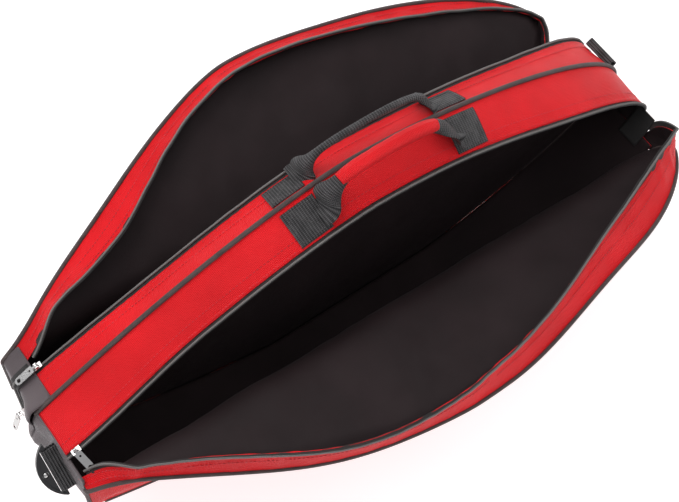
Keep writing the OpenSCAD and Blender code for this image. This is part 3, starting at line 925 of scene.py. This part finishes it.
@dataclass
class Strips:
    """The lined cloth strips of one compartment: the fixed top strip, the gusset and the cover's strip."""

    room: Compartment
    wardrobe: Wardrobe
    thick: float = 1.6
    across: int = 18

    def _strip(self, name: str, points: Array, t: Array, rests_on: str) -> bpy.types.Object:
        """A strip of lined red cloth.

        Args:
            name: the piece's name.
            points: the outer face.
            t: N x 1 places along the rim, one for each row.
            rests_on: not used.
        Returns:
            The closed strip.
        """
        obj = strip_slab(name, points, way_out(t), self.thick, [self.wardrobe.red, self.wardrobe.lining])
        return obj

    def top_strip(self) -> bpy.types.Object:
        """The strip from the centre piping to the zip: rolled over, sagging, and puckered at its seam."""
        room = self.room
        t = places(room.cap_to + 0.004, room.zip_to + 0.05)[:, None]
        root = room.root(t)
        y = 0.4 + (root + 0.8) * np.linspace(0, 1, self.across)[None, :]
        run = t * RIM_UNIT
        pucker = Ripple(5 + room.sign, 70.0, slant=1.2)(run, y) * 0.9
        share = np.clip(y / root, 0, 1)
        edge = np.sin(np.pi * share)
        seam = 0.35 * np.sin(2 * np.pi * run / 9.0 + 2 * np.sin(run / 31.0)) * share ** 4
        points = room.top(t, y, lift=pucker * edge + seam + 0.7 * share ** 6)
        obj = self._strip(f"top_strip_{room.name}_cloth", points, t, "divider")
        return seat(obj, "red_cloth", f"top_strip_{room.name}")

    def gusset(self) -> bpy.types.Object:
        """The strip round the head and under the bag, from the zip's end to the cap."""
        room = self.room
        t = places(room.zip_to + 0.05, CAP_LOW)[:, None]
        y = np.linspace(0.3, room.depth - 0.6, self.across + 6)[None, :]
        bell = np.sin(np.pi * np.clip(y / room.depth, 0, 1))
        lift = 1.2 * Ripple(15 + room.sign, 90.0)(t * RIM_UNIT, y) * bell
        lift = np.where(outline(t)[..., 1] < 3.0, -0.2, lift)
        points = rim(t, room.sign * y, -lift)
        points[..., 2] = np.maximum(points[..., 2], 0.05)
        obj = self._strip(f"gusset_{room.name}_cloth", points, t, f"wall_{room.name}")
        return seat(obj, "red_cloth", f"gusset_{room.name}")

    def cover_points(self, t: Array, y: Array, lift: Array = 0.0) -> Array:
        """The cover strip's face: the sag grows from the panel's edge to the zip."""
        room = self.room
        share = np.clip((room.depth - y) / (room.depth - room.cover_root(t)), 0, 1) ** room.cover_profile
        return room.cover(t, y, room.sag(t) * share - lift)

    def cover_strip(self) -> bpy.types.Object:
        """The strip standing on the cover's edge, gathered into wrinkles that run to its zip."""
        room = self.room
        t = places(room.zip_from - 0.015, room.zip_to + 0.06, 0.010)[:, None]
        outer_root = room.cover_root(t)
        y = room.depth - 0.3 + (outer_root - 0.9 - room.depth) * np.linspace(0, 1, self.across)[None, :]
        v = (room.depth - y) / (room.depth - outer_root)
        gather = Ripple(55 + room.sign, 34.0, waves=9, slant=0.45)(t * RIM_UNIT, room.depth - y)
        lift = 1.3 * gather * np.clip(np.sin(np.pi * np.clip(v, 0, 1) * 0.8), 0, 1)
        obj = self._strip(f"cover_strip_{room.name}_cloth", self.cover_points(t, y, lift), t,
                          f"wall_{room.name}")
        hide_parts(f"cover_{room.name}_strip")
        room.attach(obj)
        return obj

    def end_tab(self) -> bpy.types.Object:
        """The cloth stop under the zip's head end, which closes the corner of the mouth."""
        room = self.room
        at = np.array(room.zip_to)
        t = places(room.zip_to - 0.10, room.zip_to + 0.10, 0.01)[:, None]
        y = np.linspace(room.root(at) - 4, min(room.cover_root(at) + 9, room.depth - 1), 12)[None, :]
        points = rim(t, room.sign * y, np.full((len(t), 12), 1.9))
        obj = strip_slab(f"zip_stop_{room.name}", points, way_out(t), 1.0, [self.wardrobe.tape] * 2)
        return seat(obj, "zip_tape")

    def stitches(self) -> None:
        """Two rows beside the zip on the top strip and on the cover's strip."""
        room = self.room
        t = places(room.cap_to + 0.02, room.zip_to)
        rows = [stitch_row(room.top(t, room.root(t) - inset, lift=0.35), way_out(t)) for inset in (2.0, 10.0)]
        seat(join(f"stitches_top_{room.name}", rows, [self.wardrobe.thread]), "red_cloth")
        t = places(room.zip_from + 0.01, room.zip_to - 0.01)[:, None]
        rows = []
        for inset in (2.0, 9.0):
            pair = self.cover_points(t, room.cover_root(t) + np.array([[inset, inset + 1.0]]), 0.4)
            normal = np.cross(np.gradient(pair[:, 0], axis=0), pair[:, 1] - pair[:, 0]) * room.sign
            rows.append(stitch_row(pair[:, 0], unit(normal)))
        obj = join(f"stitches_cover_{room.name}", rows, [self.wardrobe.thread])
        room.attach(obj)


@dataclass
class Zip:
    """One compartment's open zip: two tapes, each with a wound coil on its free edge."""

    room: Compartment
    wardrobe: Wardrobe
    coil_r: float = 1.5
    pitch: float = 1.6
    tape_t: float = 1.0

    def coil(self, path: Array, across: Array) -> Part:
        """A tube whose radius follows a wave that bends round it, so that it reads as wound turns."""
        points, s = resample(path, self.pitch / 4)
        side = along_path(s, run_along(path), across)
        a = np.linspace(0, 2 * np.pi, 8, endpoint=False)[None, :]
        wave = np.cos(2 * np.pi * s[:, None] / self.pitch + 1.2 * np.cos(a))
        r = self.coil_r * (0.86 + 0.2 * wave)
        section = np.stack([r * np.cos(a), r * np.sin(a)], -1)
        return tube_arrays(points, side, section)

    def half(self, name: str, node: str, surface: Callable[[Array, Array, Array], Array], t: Array,
             root: Array, edge: Array) -> bpy.types.Object:
        """One half of the zip.

        Args:
            name: the piece's name.
            node: the CAD node it stands for.
            surface: maps t, y and lift to points.
            t: places along the rim.
            root: distance of the sewn side from the divider at each place.
            edge: distance of the free edge at each place.
        Returns:
            The object, tape and coil together, with no body given yet.
        """
        inward = 1 if root[0] > edge[0] else -1
        sewn = root + 2.5 * inward
        y = sewn[:, None] + (edge - sewn)[:, None] * np.linspace(0, 1, 6)[None, :]
        wave = 0.5 * Ripple(71 + self.room.sign, 40.0)(t[:, None] * RIM_UNIT, y)
        points = surface(t[:, None], y, wave - 0.15)
        across = unit(points[:, -1] - points[:, -2])
        if (grid_normals(points) * way_out(t)[:, None]).sum() < 0:
            points = points[:, ::-1]
        tape = sheet_arrays(points, points - self.tape_t * grid_normals(points))
        coil = self.coil(surface(t, edge + inward * self.coil_r, wave[:, -1] + 0.9), across)
        obj = join(name, [tape, coil], [self.wardrobe.tape, self.wardrobe.coil])
        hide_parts(node)
        return obj

    def build(self) -> None:
        """The inner half on the top strip and the outer half on the cover's strip."""
        room = self.room

        def fixed(t: Array, y: Array, lift: Array) -> Array:
            """Points beside the top strip."""
            return rim(t, room.sign * np.abs(y), room.sag(t) - lift)

        def moving(t: Array, y: Array, lift: Array) -> Array:
            """Points beside the cover's strip."""
            return room.cover(t, y, room.sag(t) - lift)

        t = places(room.zip_from, room.zip_to, 0.008)
        inner = self.half(f"zip_{room.name}_inner_half", f"zip_{room.name}_inner", fixed, t,
                          room.root(t), room.edge(t))
        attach(inner, "carcass")
        t = places(room.zip_from + 0.02, room.zip_to - 0.02, 0.008)
        outer = self.half(f"zip_{room.name}_outer_half", f"zip_{room.name}_outer", moving, t,
                          room.cover_root(t), room.cover_edge(t))
        room.attach(outer)


@dataclass
class Divider:
    """The padded wall between the compartments, and the piping over its crown."""

    wardrobe: Wardrobe
    columns: int = 150
    rows: int = 50
    half_t: float = 3.6
    edge_t: float = 0.9
    inset: float = 3.0

    def pad(self) -> bpy.types.Object:
        """A flat pad whose two faces taper to the outline and ripple."""
        x, half = columns(self.columns, self.inset, 0.99)
        low = np.minimum(np.maximum(AXIS_H - half, 0) + self.inset, AXIS_H - 0.5)
        high = np.maximum(AXIS_H + half - self.inset, AXIS_H + 0.5)
        z = low[:, None] + (high - low)[:, None] * np.linspace(0, 1, self.rows)
        px = np.broadcast_to(x[:, None], z.shape)
        gap = np.minimum(np.minimum(z - low[:, None], high[:, None] - z), np.minimum(px - x[0], x[-1] - px))
        wave = 2.2 * Ripple(91, 190.0, slant=0.8)(px, z) + 0.6 * Ripple(93, 60.0, slant=1.2)(px, z)
        bow = wave * smooth(gap / 40.0)
        thick = self.edge_t + (self.half_t - self.edge_t) * smooth(gap / 14.0)
        near = np.stack([px, bow - thick, z], -1)
        far = np.stack([px, bow + thick, z], -1)
        obj = slab("divider", near, far, [self.wardrobe.lining] * 2)
        return seat(obj, "pale_lining", "divider_foam", "divider_lining_far", "divider_lining_near")

    def piping(self) -> bpy.types.Object:
        """The covered cord along the crown and round the head: a thin tube on the outline."""
        path = soften(rim(places(4.3, 7.5, 0.008), 0.0, -1.2), 4)
        path[:, 2] = np.maximum(path[:, 2], 2.4)
        cord = tube_arrays(path, np.broadcast_to(Y_AXIS, path.shape), ring_section(2.6, 2.4, 12))
        return seat(join("centre_cord", [cord], [self.wardrobe.piping]), "piping", "centre_piping")


@dataclass
class EndCap:
    """The dark cap over the handle end, with the shut tail of the far zip across it."""

    wardrobe: Wardrobe
    thick: float = 2.0
    swelling: float = 11.0

    def band(self, a: float, b: float, step: float, passes: int) -> tuple[Array, Array]:
        """A rounded line over the handle end from place a to b, and its outward unit normals.

        The normals are the line's direction, turned a quarter turn.
        """
        base = soften(rim(places(a, b, step), 0.0, 0.0), passes)
        ahead = np.gradient(base, axis=0)
        return base, unit(np.stack([-ahead[:, 2], 0 * ahead[:, 1], ahead[:, 0]], -1))

    def half(self, room: Compartment) -> bpy.types.Object:
        """One side of the cap: a band over the handle end, swollen beside the divider and crumpled."""
        base, n = self.band(CAP_LOW - 0.02, 5 + room.cap_to + 0.012, 0.006, 14)
        y = np.linspace(0.0, room.depth - 0.4, 24)
        run = run_along(base)
        arch = np.sin(np.pi * (run / run[-1]))[:, None]
        bell = np.maximum(arch * np.sin(np.pi * (y / room.depth) ** 0.8)[None, :], 0)
        ripple = Ripple(111 + room.sign, 40.0)(run[:, None], y[None, :])
        crumple = 1 + 0.25 * np.sin(run / 6.5)[:, None]
        bulge = arch ** 0.7 * bump(room.sign * y, 0.0, 29.0)
        lift = 2.5 * bell + 0.9 * ripple * bell ** 0.5 + 0.5 + self.swelling * bulge * crumple
        points = base[:, None] + lift[..., None] * n[:, None] + (room.sign * y)[None, :, None] * Y_AXIS
        points[..., 2] = np.maximum(points[..., 2], 0.1)
        obj = strip_slab(f"end_cap_{room.name}", points, n[:, None], self.thick,
                         [self.wardrobe.cap, self.wardrobe.lining])
        f"wall_{room.name}"
        return seat(obj, "cap_cloth", *(["end_cap"] if room is FAR else []))

    def tail(self) -> None:
        """The far zip's shut tail: a tape over the cap with one coil along its middle."""
        base, n = self.band(4.16, 5.05, 0.01, 6)
        y = np.linspace(FAR.zip_y - FAR.tape_w, FAR.zip_y + FAR.tape_w, 6)
        points = base[:, None] + 3.6 * n[:, None] + y[None, :, None] * Y_AXIS
        tape = strip_slab("zip_tail_tape", points, n[:, None], 1.0, [self.wardrobe.tape] * 2)
        seat(tape, "zip_tape", "zip_end_shut")
        path = base + 4.2 * n + FAR.zip_y * Y_AXIS
        coil = Zip(FAR, self.wardrobe).coil(path, np.broadcast_to(Y_AXIS, path.shape))
        seat(join("zip_tail_coil", [coil], [self.wardrobe.coil]), "zip_tape")


def bezier(a: Array, b: Array, c: Array, d: Array, count: int) -> Array:
    """Points of a cubic Bezier curve."""
    u = np.linspace(0, 1, count)[:, None]
    return (1 - u) ** 3 * a + 3 * u * (1 - u) ** 2 * b + 3 * u * u * (1 - u) * c + u ** 3 * d


@dataclass
class Handle:
    """A carry handle: webbing that leaves a flat patch, rolls up, and arches over the bag.

    Args:
        room: the compartment that it is sewn to.
        wardrobe: the finishes.
        feet_y: where its feet stand across the bag.
        lean: how far the middle of the arch stands towards +Y from its feet.
        patch_y: where its patches begin and end, from the divider.
        width: width of the rolled cloth, measured round its arc.
        rolled, unrolled: the arc's angle over the arch and on the patches, in radians.
        middle, span, rise: the arch's place and sizes.
        foot_lift, foot_in: where its ends stand, above the strip and inside the span.
        squareness: the superellipse's power.
        webbing_w, webbing_t: the webbing's sizes at the patches.
        strap_t: its thickness between them.
        lead: how far it runs straight on from each end of the arch.
    """

    room: Compartment
    wardrobe: Wardrobe
    feet_y: float
    lean: float
    patch_y: tuple[float, float]
    width: float
    rolled: float
    unrolled: float = 0.35
    middle: float = 32.0
    span: float = 160.0
    rise: float = 36.0
    foot_lift: float = 7.0
    foot_in: float = 3.0
    squareness: float = 2.6
    webbing_w: float = 38.0
    webbing_t: float = 1.6
    strap_t: float = 1.5
    lead: float = 12.0

    def place(self, x: float) -> float:
        """The place on the rim above x."""
        return 1 + x / CROWN_X if x < 0 else 1 + math.asin((x / CROWN_X) ** 0.8) / (math.pi / 2)

    def arch(self, u: Array) -> Array:
        """The handle's line: a superellipse over the span, leaning to one side as it rises."""
        w = np.pi * (1 - u)
        half = self.span / 2 - self.foot_in
        power = 2 / self.squareness
        x = self.middle + half * np.sign(np.cos(w)) * np.abs(np.cos(w)) ** power
        up = np.clip(np.sin(w), 0, 1) ** power
        ends = []
        for xe in (self.middle - half, self.middle + half):
            t = self.place(xe)
            sag = float(self.room.sag(np.array(t))) * abs(self.feet_y) / self.room.root(t)
            ends.append(rim(np.array(t), 0.0, np.array(sag))[2] + self.foot_lift)
        z = ends[0] + (ends[1] - ends[0]) * u + self.rise * up
        return np.stack([x, self.feet_y + self.lean * up, z], -1)

    def patch(self, name: str, node: str, centre_x: float) -> None:
        """A square of webbing sewn flat on the strip, with a box of stitches and one diagonal."""
        room = self.room
        a, b = self.place(centre_x - self.webbing_w / 2), self.place(centre_x + self.webbing_w / 2)
        t = np.linspace(a, b, 20)[:, None]
        points = room.top(t, np.linspace(*self.patch_y, 20)[None, :], lift=self.webbing_t + 0.5)
        patch = strip_slab(name, points, way_out(t), self.webbing_t + 0.6, [self.wardrobe.webbing] * 2)
        seat(patch, "webbing", node)
        inset = 0.12 * (b - a)
        left, right = a + inset, b - inset
        low, high = self.patch_y[0] + 3.5, self.patch_y[1] - 3.5
        corners = [(left, low), (right, low), (right, high), (left, high), (left, low), (right, high)]
        share = np.linspace(0, 1, 12)
        rows = []
        for (ta, ya), (tb, yb) in zip(corners, corners[1:]):
            t = ta + (tb - ta) * share
            path = room.top(t, ya + (yb - ya) * share, lift=self.webbing_t + 0.7)
            rows.append(stitch_row(path, way_out(t), 3.2, 2.3, 0.35))
        seat(join(f"{name}_stitches", rows, [self.wardrobe.dark_thread]), "webbing")

    def webbing(self, name: str, node: str, body: str, flat_share: float) -> bpy.types.Object:
        """The strap from patch to patch: an arc of cloth carried along the arch and down to its patches.

        Args:
            name: the piece's name.
            node: the CAD node it stands for.
            body: not used.
            flat_share: how much of each end is still opening out.
        Returns:
            A closed strip whose cross-section is an arc: nearly flat on the patches and rolled into a
            tube over the arch.
        """
        middle = self.arch(np.linspace(0.10, 0.90, 90))
        patch_mid = np.array(sum(self.patch_y) / 2)
        ends = []
        for sign in (-1, 1):
            x = self.middle + sign * (self.span / 2 + 6.0)
            ends.append([self.room.top(np.array(self.place(along)), patch_mid, lift=lift)
                         for along, lift in ((x, 2.6), (x - sign * 16.0, 4.5))])
        first = bezier(*ends[0], middle[0] - self.lead * unit(middle[1] - middle[0]), middle[0], 30)
        last = bezier(middle[-1], middle[-1] + self.lead * unit(middle[-1] - middle[-2]), *ends[1][::-1], 30)
        path, s = resample(soften(np.concatenate([first[:-1], middle, last[1:]]), 8), 1.6)
        share = s / s[-1]
        roll = smooth(share / flat_share) * smooth((1 - share) / flat_share)
        opening = self.unrolled + (self.rolled - self.unrolled) * roll
        width = self.width + (self.webbing_w * 0.94 - self.width) * (1 - roll) ** 1.5
        along = unit(np.gradient(path, axis=0))
        twist = 0.5 * np.sin(4 * np.pi * share) * (1 - roll)
        side = unit(Y_AXIS - (along @ Y_AXIS)[:, None] * along)
        up = np.cross(along, side)
        up = np.where((up[:, 2:] < 0) & (np.abs(up[:, 2:]) > 0.3), -up, up)
        side = np.cos(twist)[:, None] * side + np.sin(twist)[:, None] * up
        up = np.cross(along, side)
        v = np.linspace(-0.5, 0.5, 22)
        theta = opening[:, None] * v[None, :]
        radius = (width / opening)[:, None]
        centre_drop = radius[:, 0] * (1 - np.cos(opening / 2)) / 2 * roll
        flip = np.where(up[:, 2] >= 0, 1.0, -1.0)[:, None, None]
        points = (path[:, None] + radius[..., None] * np.sin(theta)[..., None] * side[:, None]
                  - flip * radius[..., None] * (1 - np.cos(theta))[..., None] * up[:, None]
                  + flip * centre_drop[:, None, None] * up[:, None])
        normal = grid_normals(points)
        if (normal * (points - path[:, None])).sum() < 0:
            points, normal = points[:, ::-1], -normal[:, ::-1]
        obj = slab(name, points, points - self.strap_t * normal, [self.wardrobe.webbing] * 2)
        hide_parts(node)
        foot = self.arch(np.array([0.0]))[0]
        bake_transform(obj)
        return obj


@dataclass
class Sleeve:
    """The padded red sleeve round the near handle."""

    handle: Handle
    wardrobe: Wardrobe
    radius: float = 7.3

    def build(self) -> bpy.types.Object:
        """A stuffed tube with a lap seam underneath, swollen by a short cloth simulation."""
        path, s = resample(self.handle.arch(np.linspace(0.262, 0.738, 60)), 1.2)
        share = s / s[-1]
        a = np.linspace(0, 2 * np.pi, 40, endpoint=False)[None, :]
        ends = 1 - 0.10 * np.exp(-((share * 14) ** 2)) - 0.10 * np.exp(-(((1 - share) * 14) ** 2))
        lap = 0.12 * np.exp(-((np.mod(a + np.pi, 2 * np.pi) - np.pi / 2) ** 2) / 0.02)
        ridge = 0.035 * Ripple(201, 26.0, slant=1.1)(s[:, None], a * self.radius)
        r = self.radius * (ends[:, None] + lap + ridge)
        section = np.stack([1.06 * r * np.cos(a), 0.95 * r * np.sin(a)], -1)
        tube = tube_arrays(path, np.broadcast_to(Y_AXIS, path.shape), section)
        obj = join("handle_sleeve", [tube], [self.wardrobe.red])
        self.swell(obj)
        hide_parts("handle_near_sleeve")
        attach(obj, "handle_near")
        return obj

    def swell(self, obj: bpy.types.Object, cap: float = 0.7, frames: int = 12) -> None:
        """Runs Blender's Cloth with pressure on the tube, then caps how far a point has moved.

        Args:
            obj: the closed tube.
            cap: the furthest that a point may move, in millimetres.
            frames: how long the simulation runs.
        """
        scene = bpy.context.scene
        before = np.zeros(len(obj.data.vertices) * 3)
        obj.data.vertices.foreach_get("co", before)
        cloth = obj.modifiers.new("swell", "CLOTH")
        cloth.settings.use_pressure = True
        cloth.settings.uniform_pressure_force = 2.0
        cloth.settings.effector_weights.gravity = 0
        cloth.settings.tension_stiffness = 20
        cloth.point_cache.frame_start, cloth.point_cache.frame_end = 1, frames
        for number in range(1, frames + 1):
            scene.frame_set(number)
        evaluated = obj.evaluated_get(bpy.context.evaluated_depsgraph_get())
        after = np.zeros(len(before))
        evaluated.data.vertices.foreach_get("co", after)
        obj.modifiers.remove(cloth)
        scene.frame_set(1)
        move = (after - before).reshape(-1, 3)
        length = np.linalg.norm(move, axis=-1, keepdims=True)
        move *= np.minimum(1, cap * MM / np.maximum(length, 1e-9))
        obj.data.vertices.foreach_set("co", (before.reshape(-1, 3) + move).ravel())
        obj.data.update()


@dataclass
class Fittings:
    """Head loop, strap tab, and the finishes of the metal and plastic nodes."""

    wardrobe: Wardrobe

    def head_loop(self) -> None:
        """A flat loop of ribbed webbing: a rounded rectangle of cloth carried across the strip."""
        low, high = (np.array(c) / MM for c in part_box("head_loop"))
        normal = way_out(np.array(1.9))
        tangent = np.cross(Y_AXIS, normal)
        centre = (low + high) / 2
        centre[1] = 0
        rings, around, square = 24, 64, 5.0
        a = np.linspace(0, 2 * np.pi, around, endpoint=False)
        shape = (np.abs(np.cos(a)) ** square + np.abs(np.sin(a)) ** square) ** (-1 / square)
        ys = np.linspace(low[1], high[1], rings)

        def ring(half_l: float, half_h: float) -> Array:
            """The loop's wall: a superellipse of these half sizes, carried along Y."""
            return (centre + (shape * np.cos(a) * half_l)[None, :, None] * tangent
                    + (shape * np.sin(a) * half_h)[None, :, None] * normal + ys[:, None, None] * Y_AXIS)

        outer, inner = ring(6.6, 5.1), ring(5.1, 3.6)
        count = rings * around
        j = np.arange(around)
        nxt = (j + 1) % around
        last = count - around
        near_edge = np.stack([j, nxt, nxt + count, j + count], -1)
        far_edge = np.stack([last + nxt, last + j, last + j + count, last + nxt + count], -1)
        faces = np.concatenate([quads(rings, around, wrap=True),
                                quads(rings, around, wrap=True, start=count)[:, ::-1], near_edge, far_edge])
        uv = arc_uv(outer, wrap=True)[..., ::-1]
        verts = np.concatenate([outer.reshape(-1, 3), inner.reshape(-1, 3)])
        obj = make_object("head_loop_webbing", verts, faces, np.concatenate([uv.reshape(-1, 2)] * 2),
                          [self.wardrobe.webbing])
        fix_normals(obj)
        seat(obj, "webbing", "head_loop")

    def strap_tab(self) -> None:
        """Webbing folded round the ring's bar: a profile along the fold, carried across the strap's width."""
        roll = math.radians(51.0)
        at = np.array([-CROWN_X, -48.0, AXIS_H + 2])
        y_axis = np.array([0.0, math.cos(roll), math.sin(roll)])
        z_axis = np.array([0.0, -math.sin(roll), math.cos(roll)])
        bar_x, r, half_w = -14.0, 2.9, 24.6
        bend = np.linspace(-np.pi / 2, -3 * np.pi / 2, 24)
        profile = np.concatenate([
            np.stack([np.linspace(3.0, bar_x, 14), np.full(14, -r)], -1)[:-1],
            np.stack([bar_x + r * np.cos(bend), r * np.sin(bend)], -1),
            np.stack([np.linspace(bar_x, 3.0, 14), np.full(14, r)], -1)[1:]])
        y = np.linspace(-half_w, half_w, 30)
        points = (at + profile[:, None, :1] * X_AXIS + y[None, :, None] * y_axis
                  + profile[:, None, 1:] * z_axis)
        normal = grid_normals(points)
        if (normal * (points - at - bar_x * X_AXIS)).sum() < 0:
            points = points[:, ::-1]
            normal = grid_normals(points)
        obj = slab("strap_tab_webbing", points + 0.75 * normal, points - 0.75 * normal,
                   [self.wardrobe.webbing] * 2)
        seat(obj, "webbing", "strap_tab")

    def dress_nodes(self) -> None:
        """Gives the metal and plastic CAD nodes their finishes."""
        for node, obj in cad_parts.items():
            if obj.hide_render:
                continue
            finish = self.wardrobe.plastic if node == "strap_ring" else self.wardrobe.metal
            for k in range(max(len(obj.material_slots), 1)):
                if len(obj.material_slots) <= k:
                    obj.data.materials.append(finish)
                obj.material_slots[k].material = finish
            LOG.info("dressed node %s", node)


def fix_normals(obj: bpy.types.Object) -> None:
    """Points a closed mesh's faces outwards."""
    bm = bmesh.new()
    bm.from_mesh(obj.data)
    bmesh.ops.recalc_face_normals(bm, faces=bm.faces)
    bm.to_mesh(obj.data)
    bm.free()


@dataclass
class Studio:
    """Floor, light and camera."""

    eye: tuple[float, float, float] = (-0.4795, -0.6443, 1.5845)
    azimuth: float = -36.18
    elevation: float = 61.37
    roll: float = 1.07
    lens: float = 82.655

    def floor(self) -> None:
        """A pale plane with a faint grain."""
        half, level = 4000.0, -0.2
        v = np.array([[-half, -half, level], [half, -half, level], [half, half, level], [-half, half, level]])
        g = Graph("studio_floor")
        tone = g.ramp(g.noise(3.0), [(0.3, (0.52, 0.52, 0.52)), (0.7, (0.55, 0.55, 0.55))])
        g.link(tone, g.bsdf.inputs["Base Color"])
        g.bsdf.inputs["Roughness"].default_value = 0.9
        g.bsdf.inputs["Emission Color"].default_value = (1.0, 1.0, 1.0, 1)
        g.bsdf.inputs["Emission Strength"].default_value = 0.75
        plane = make_object("floor", v, [[0, 1, 2, 3]], v[:, :2] * MM, [g.material])

    def lamp(self, name: str, place: tuple[float, float, float], size: float, power: float) -> None:
        """A soft square lamp aimed at the bag's middle."""
        data = bpy.data.lights.new(name, "AREA")
        data.shape = "SQUARE"
        data.size = size
        data.energy = power
        obj = bpy.data.objects.new(name, data)
        obj.location = place
        aim = Vector((0, 0, 0.15)) - Vector(place)
        obj.rotation_euler = aim.to_track_quat("-Z", "Y").to_euler()
        bpy.context.scene.collection.objects.link(obj)

    def camera(self) -> None:
        """The camera: its back axis from azimuth and elevation, then turned by its roll."""
        az, el, roll = (math.radians(v) for v in (self.azimuth, self.elevation, self.roll))
        back = np.array([math.sin(az) * math.cos(el), -math.cos(az) * math.cos(el), math.sin(el)])
        right = unit(np.cross(Z_AXIS, back))
        up = np.cross(back, right)
        rolled_right = math.cos(roll) * right + math.sin(roll) * up
        rolled_up = -math.sin(roll) * right + math.cos(roll) * up
        data = bpy.data.cameras.new("camera")
        data.lens = self.lens
        data.sensor_width = 36.0
        obj = bpy.data.objects.new("camera", data)
        matrix = Matrix.Identity(4)
        for k, axis in enumerate((rolled_right, rolled_up, back)):
            matrix.col[k][:3] = axis.tolist()
        matrix.translation = Vector(self.eye)
        obj.matrix_world = matrix
        bpy.context.scene.collection.objects.link(obj)
        bpy.context.scene.camera = obj

    def build(self) -> None:
        """Everything round the bag."""
        self.camera()
        self.floor()
        self.lamp("key_lamp", (-0.6, 0.9, 1.9), 1.6, 28.0)
        self.lamp("fill_lamp", (1.2, -1.3, 1.6), 2.0, 12.0)
        self.lamp("top_lamp", (0.0, 0.0, 2.4), 2.2, 14.0)
        world = bpy.data.worlds.new("studio")
        world.use_nodes = True
        sky = world.node_tree.nodes["Background"]
        sky.inputs["Color"].default_value = (0.95, 0.96, 1.0, 1)
        sky.inputs["Strength"].default_value = 0.5
        bpy.context.scene.world = world
        bpy.context.scene.view_settings.view_transform = "Standard"


def main() -> None:
    """Builds the bag's assemblies in order and reports each."""
    logging.basicConfig(level=logging.INFO, format="%(message)s")
    Studio().build()
    wardrobe = Wardrobe()
    divider = Divider(wardrobe)
    LOG.info("built %s and %s", divider.pad().name, divider.piping().name)
    for room in (FAR, NEAR):
        wall = Wall(room, wardrobe)
        LOG.info("built %s and %s", wall.build().name, wall.piping().name)
        strips = Strips(room, wardrobe)
        LOG.info("built %s", [strips.top_strip().name, strips.gusset().name, strips.cover_strip().name])
        strips.end_tab()
        strips.stitches()
        Zip(room, wardrobe).build()
    cap = EndCap(wardrobe)
    LOG.info("built %s", [cap.half(room).name for room in (FAR, NEAR)])
    cap.tail()
    far = Handle(FAR, wardrobe, 19.0, -3.0, (5.0, 29.0), 21.0, 5.6)
    near = Handle(NEAR, wardrobe, -23.0, 3.0, (7.0, 41.0), 34.0, 5.4)
    for handle in (far, near):
        offset = handle.span / 2 + handle.webbing_w / 2
        for word, x in (("rear", handle.middle - offset), ("front", handle.middle + offset)):
            handle.patch(f"patch_{handle.room.name}_{word}_webbing", f"patch_{handle.room.name}_{word}", x)
    far.webbing("handle_far_rope", "handle_far", "handle_far", 0.26)
    near.webbing("handle_near_strap", "handle_near_webbing", "handle_near", 0.30)
    Sleeve(near, wardrobe).build()
    fittings = Fittings(wardrobe)
    fittings.head_loop()
    fittings.strap_tab()
    fittings.dress_nodes()


if __name__ == "__main__":
    main()
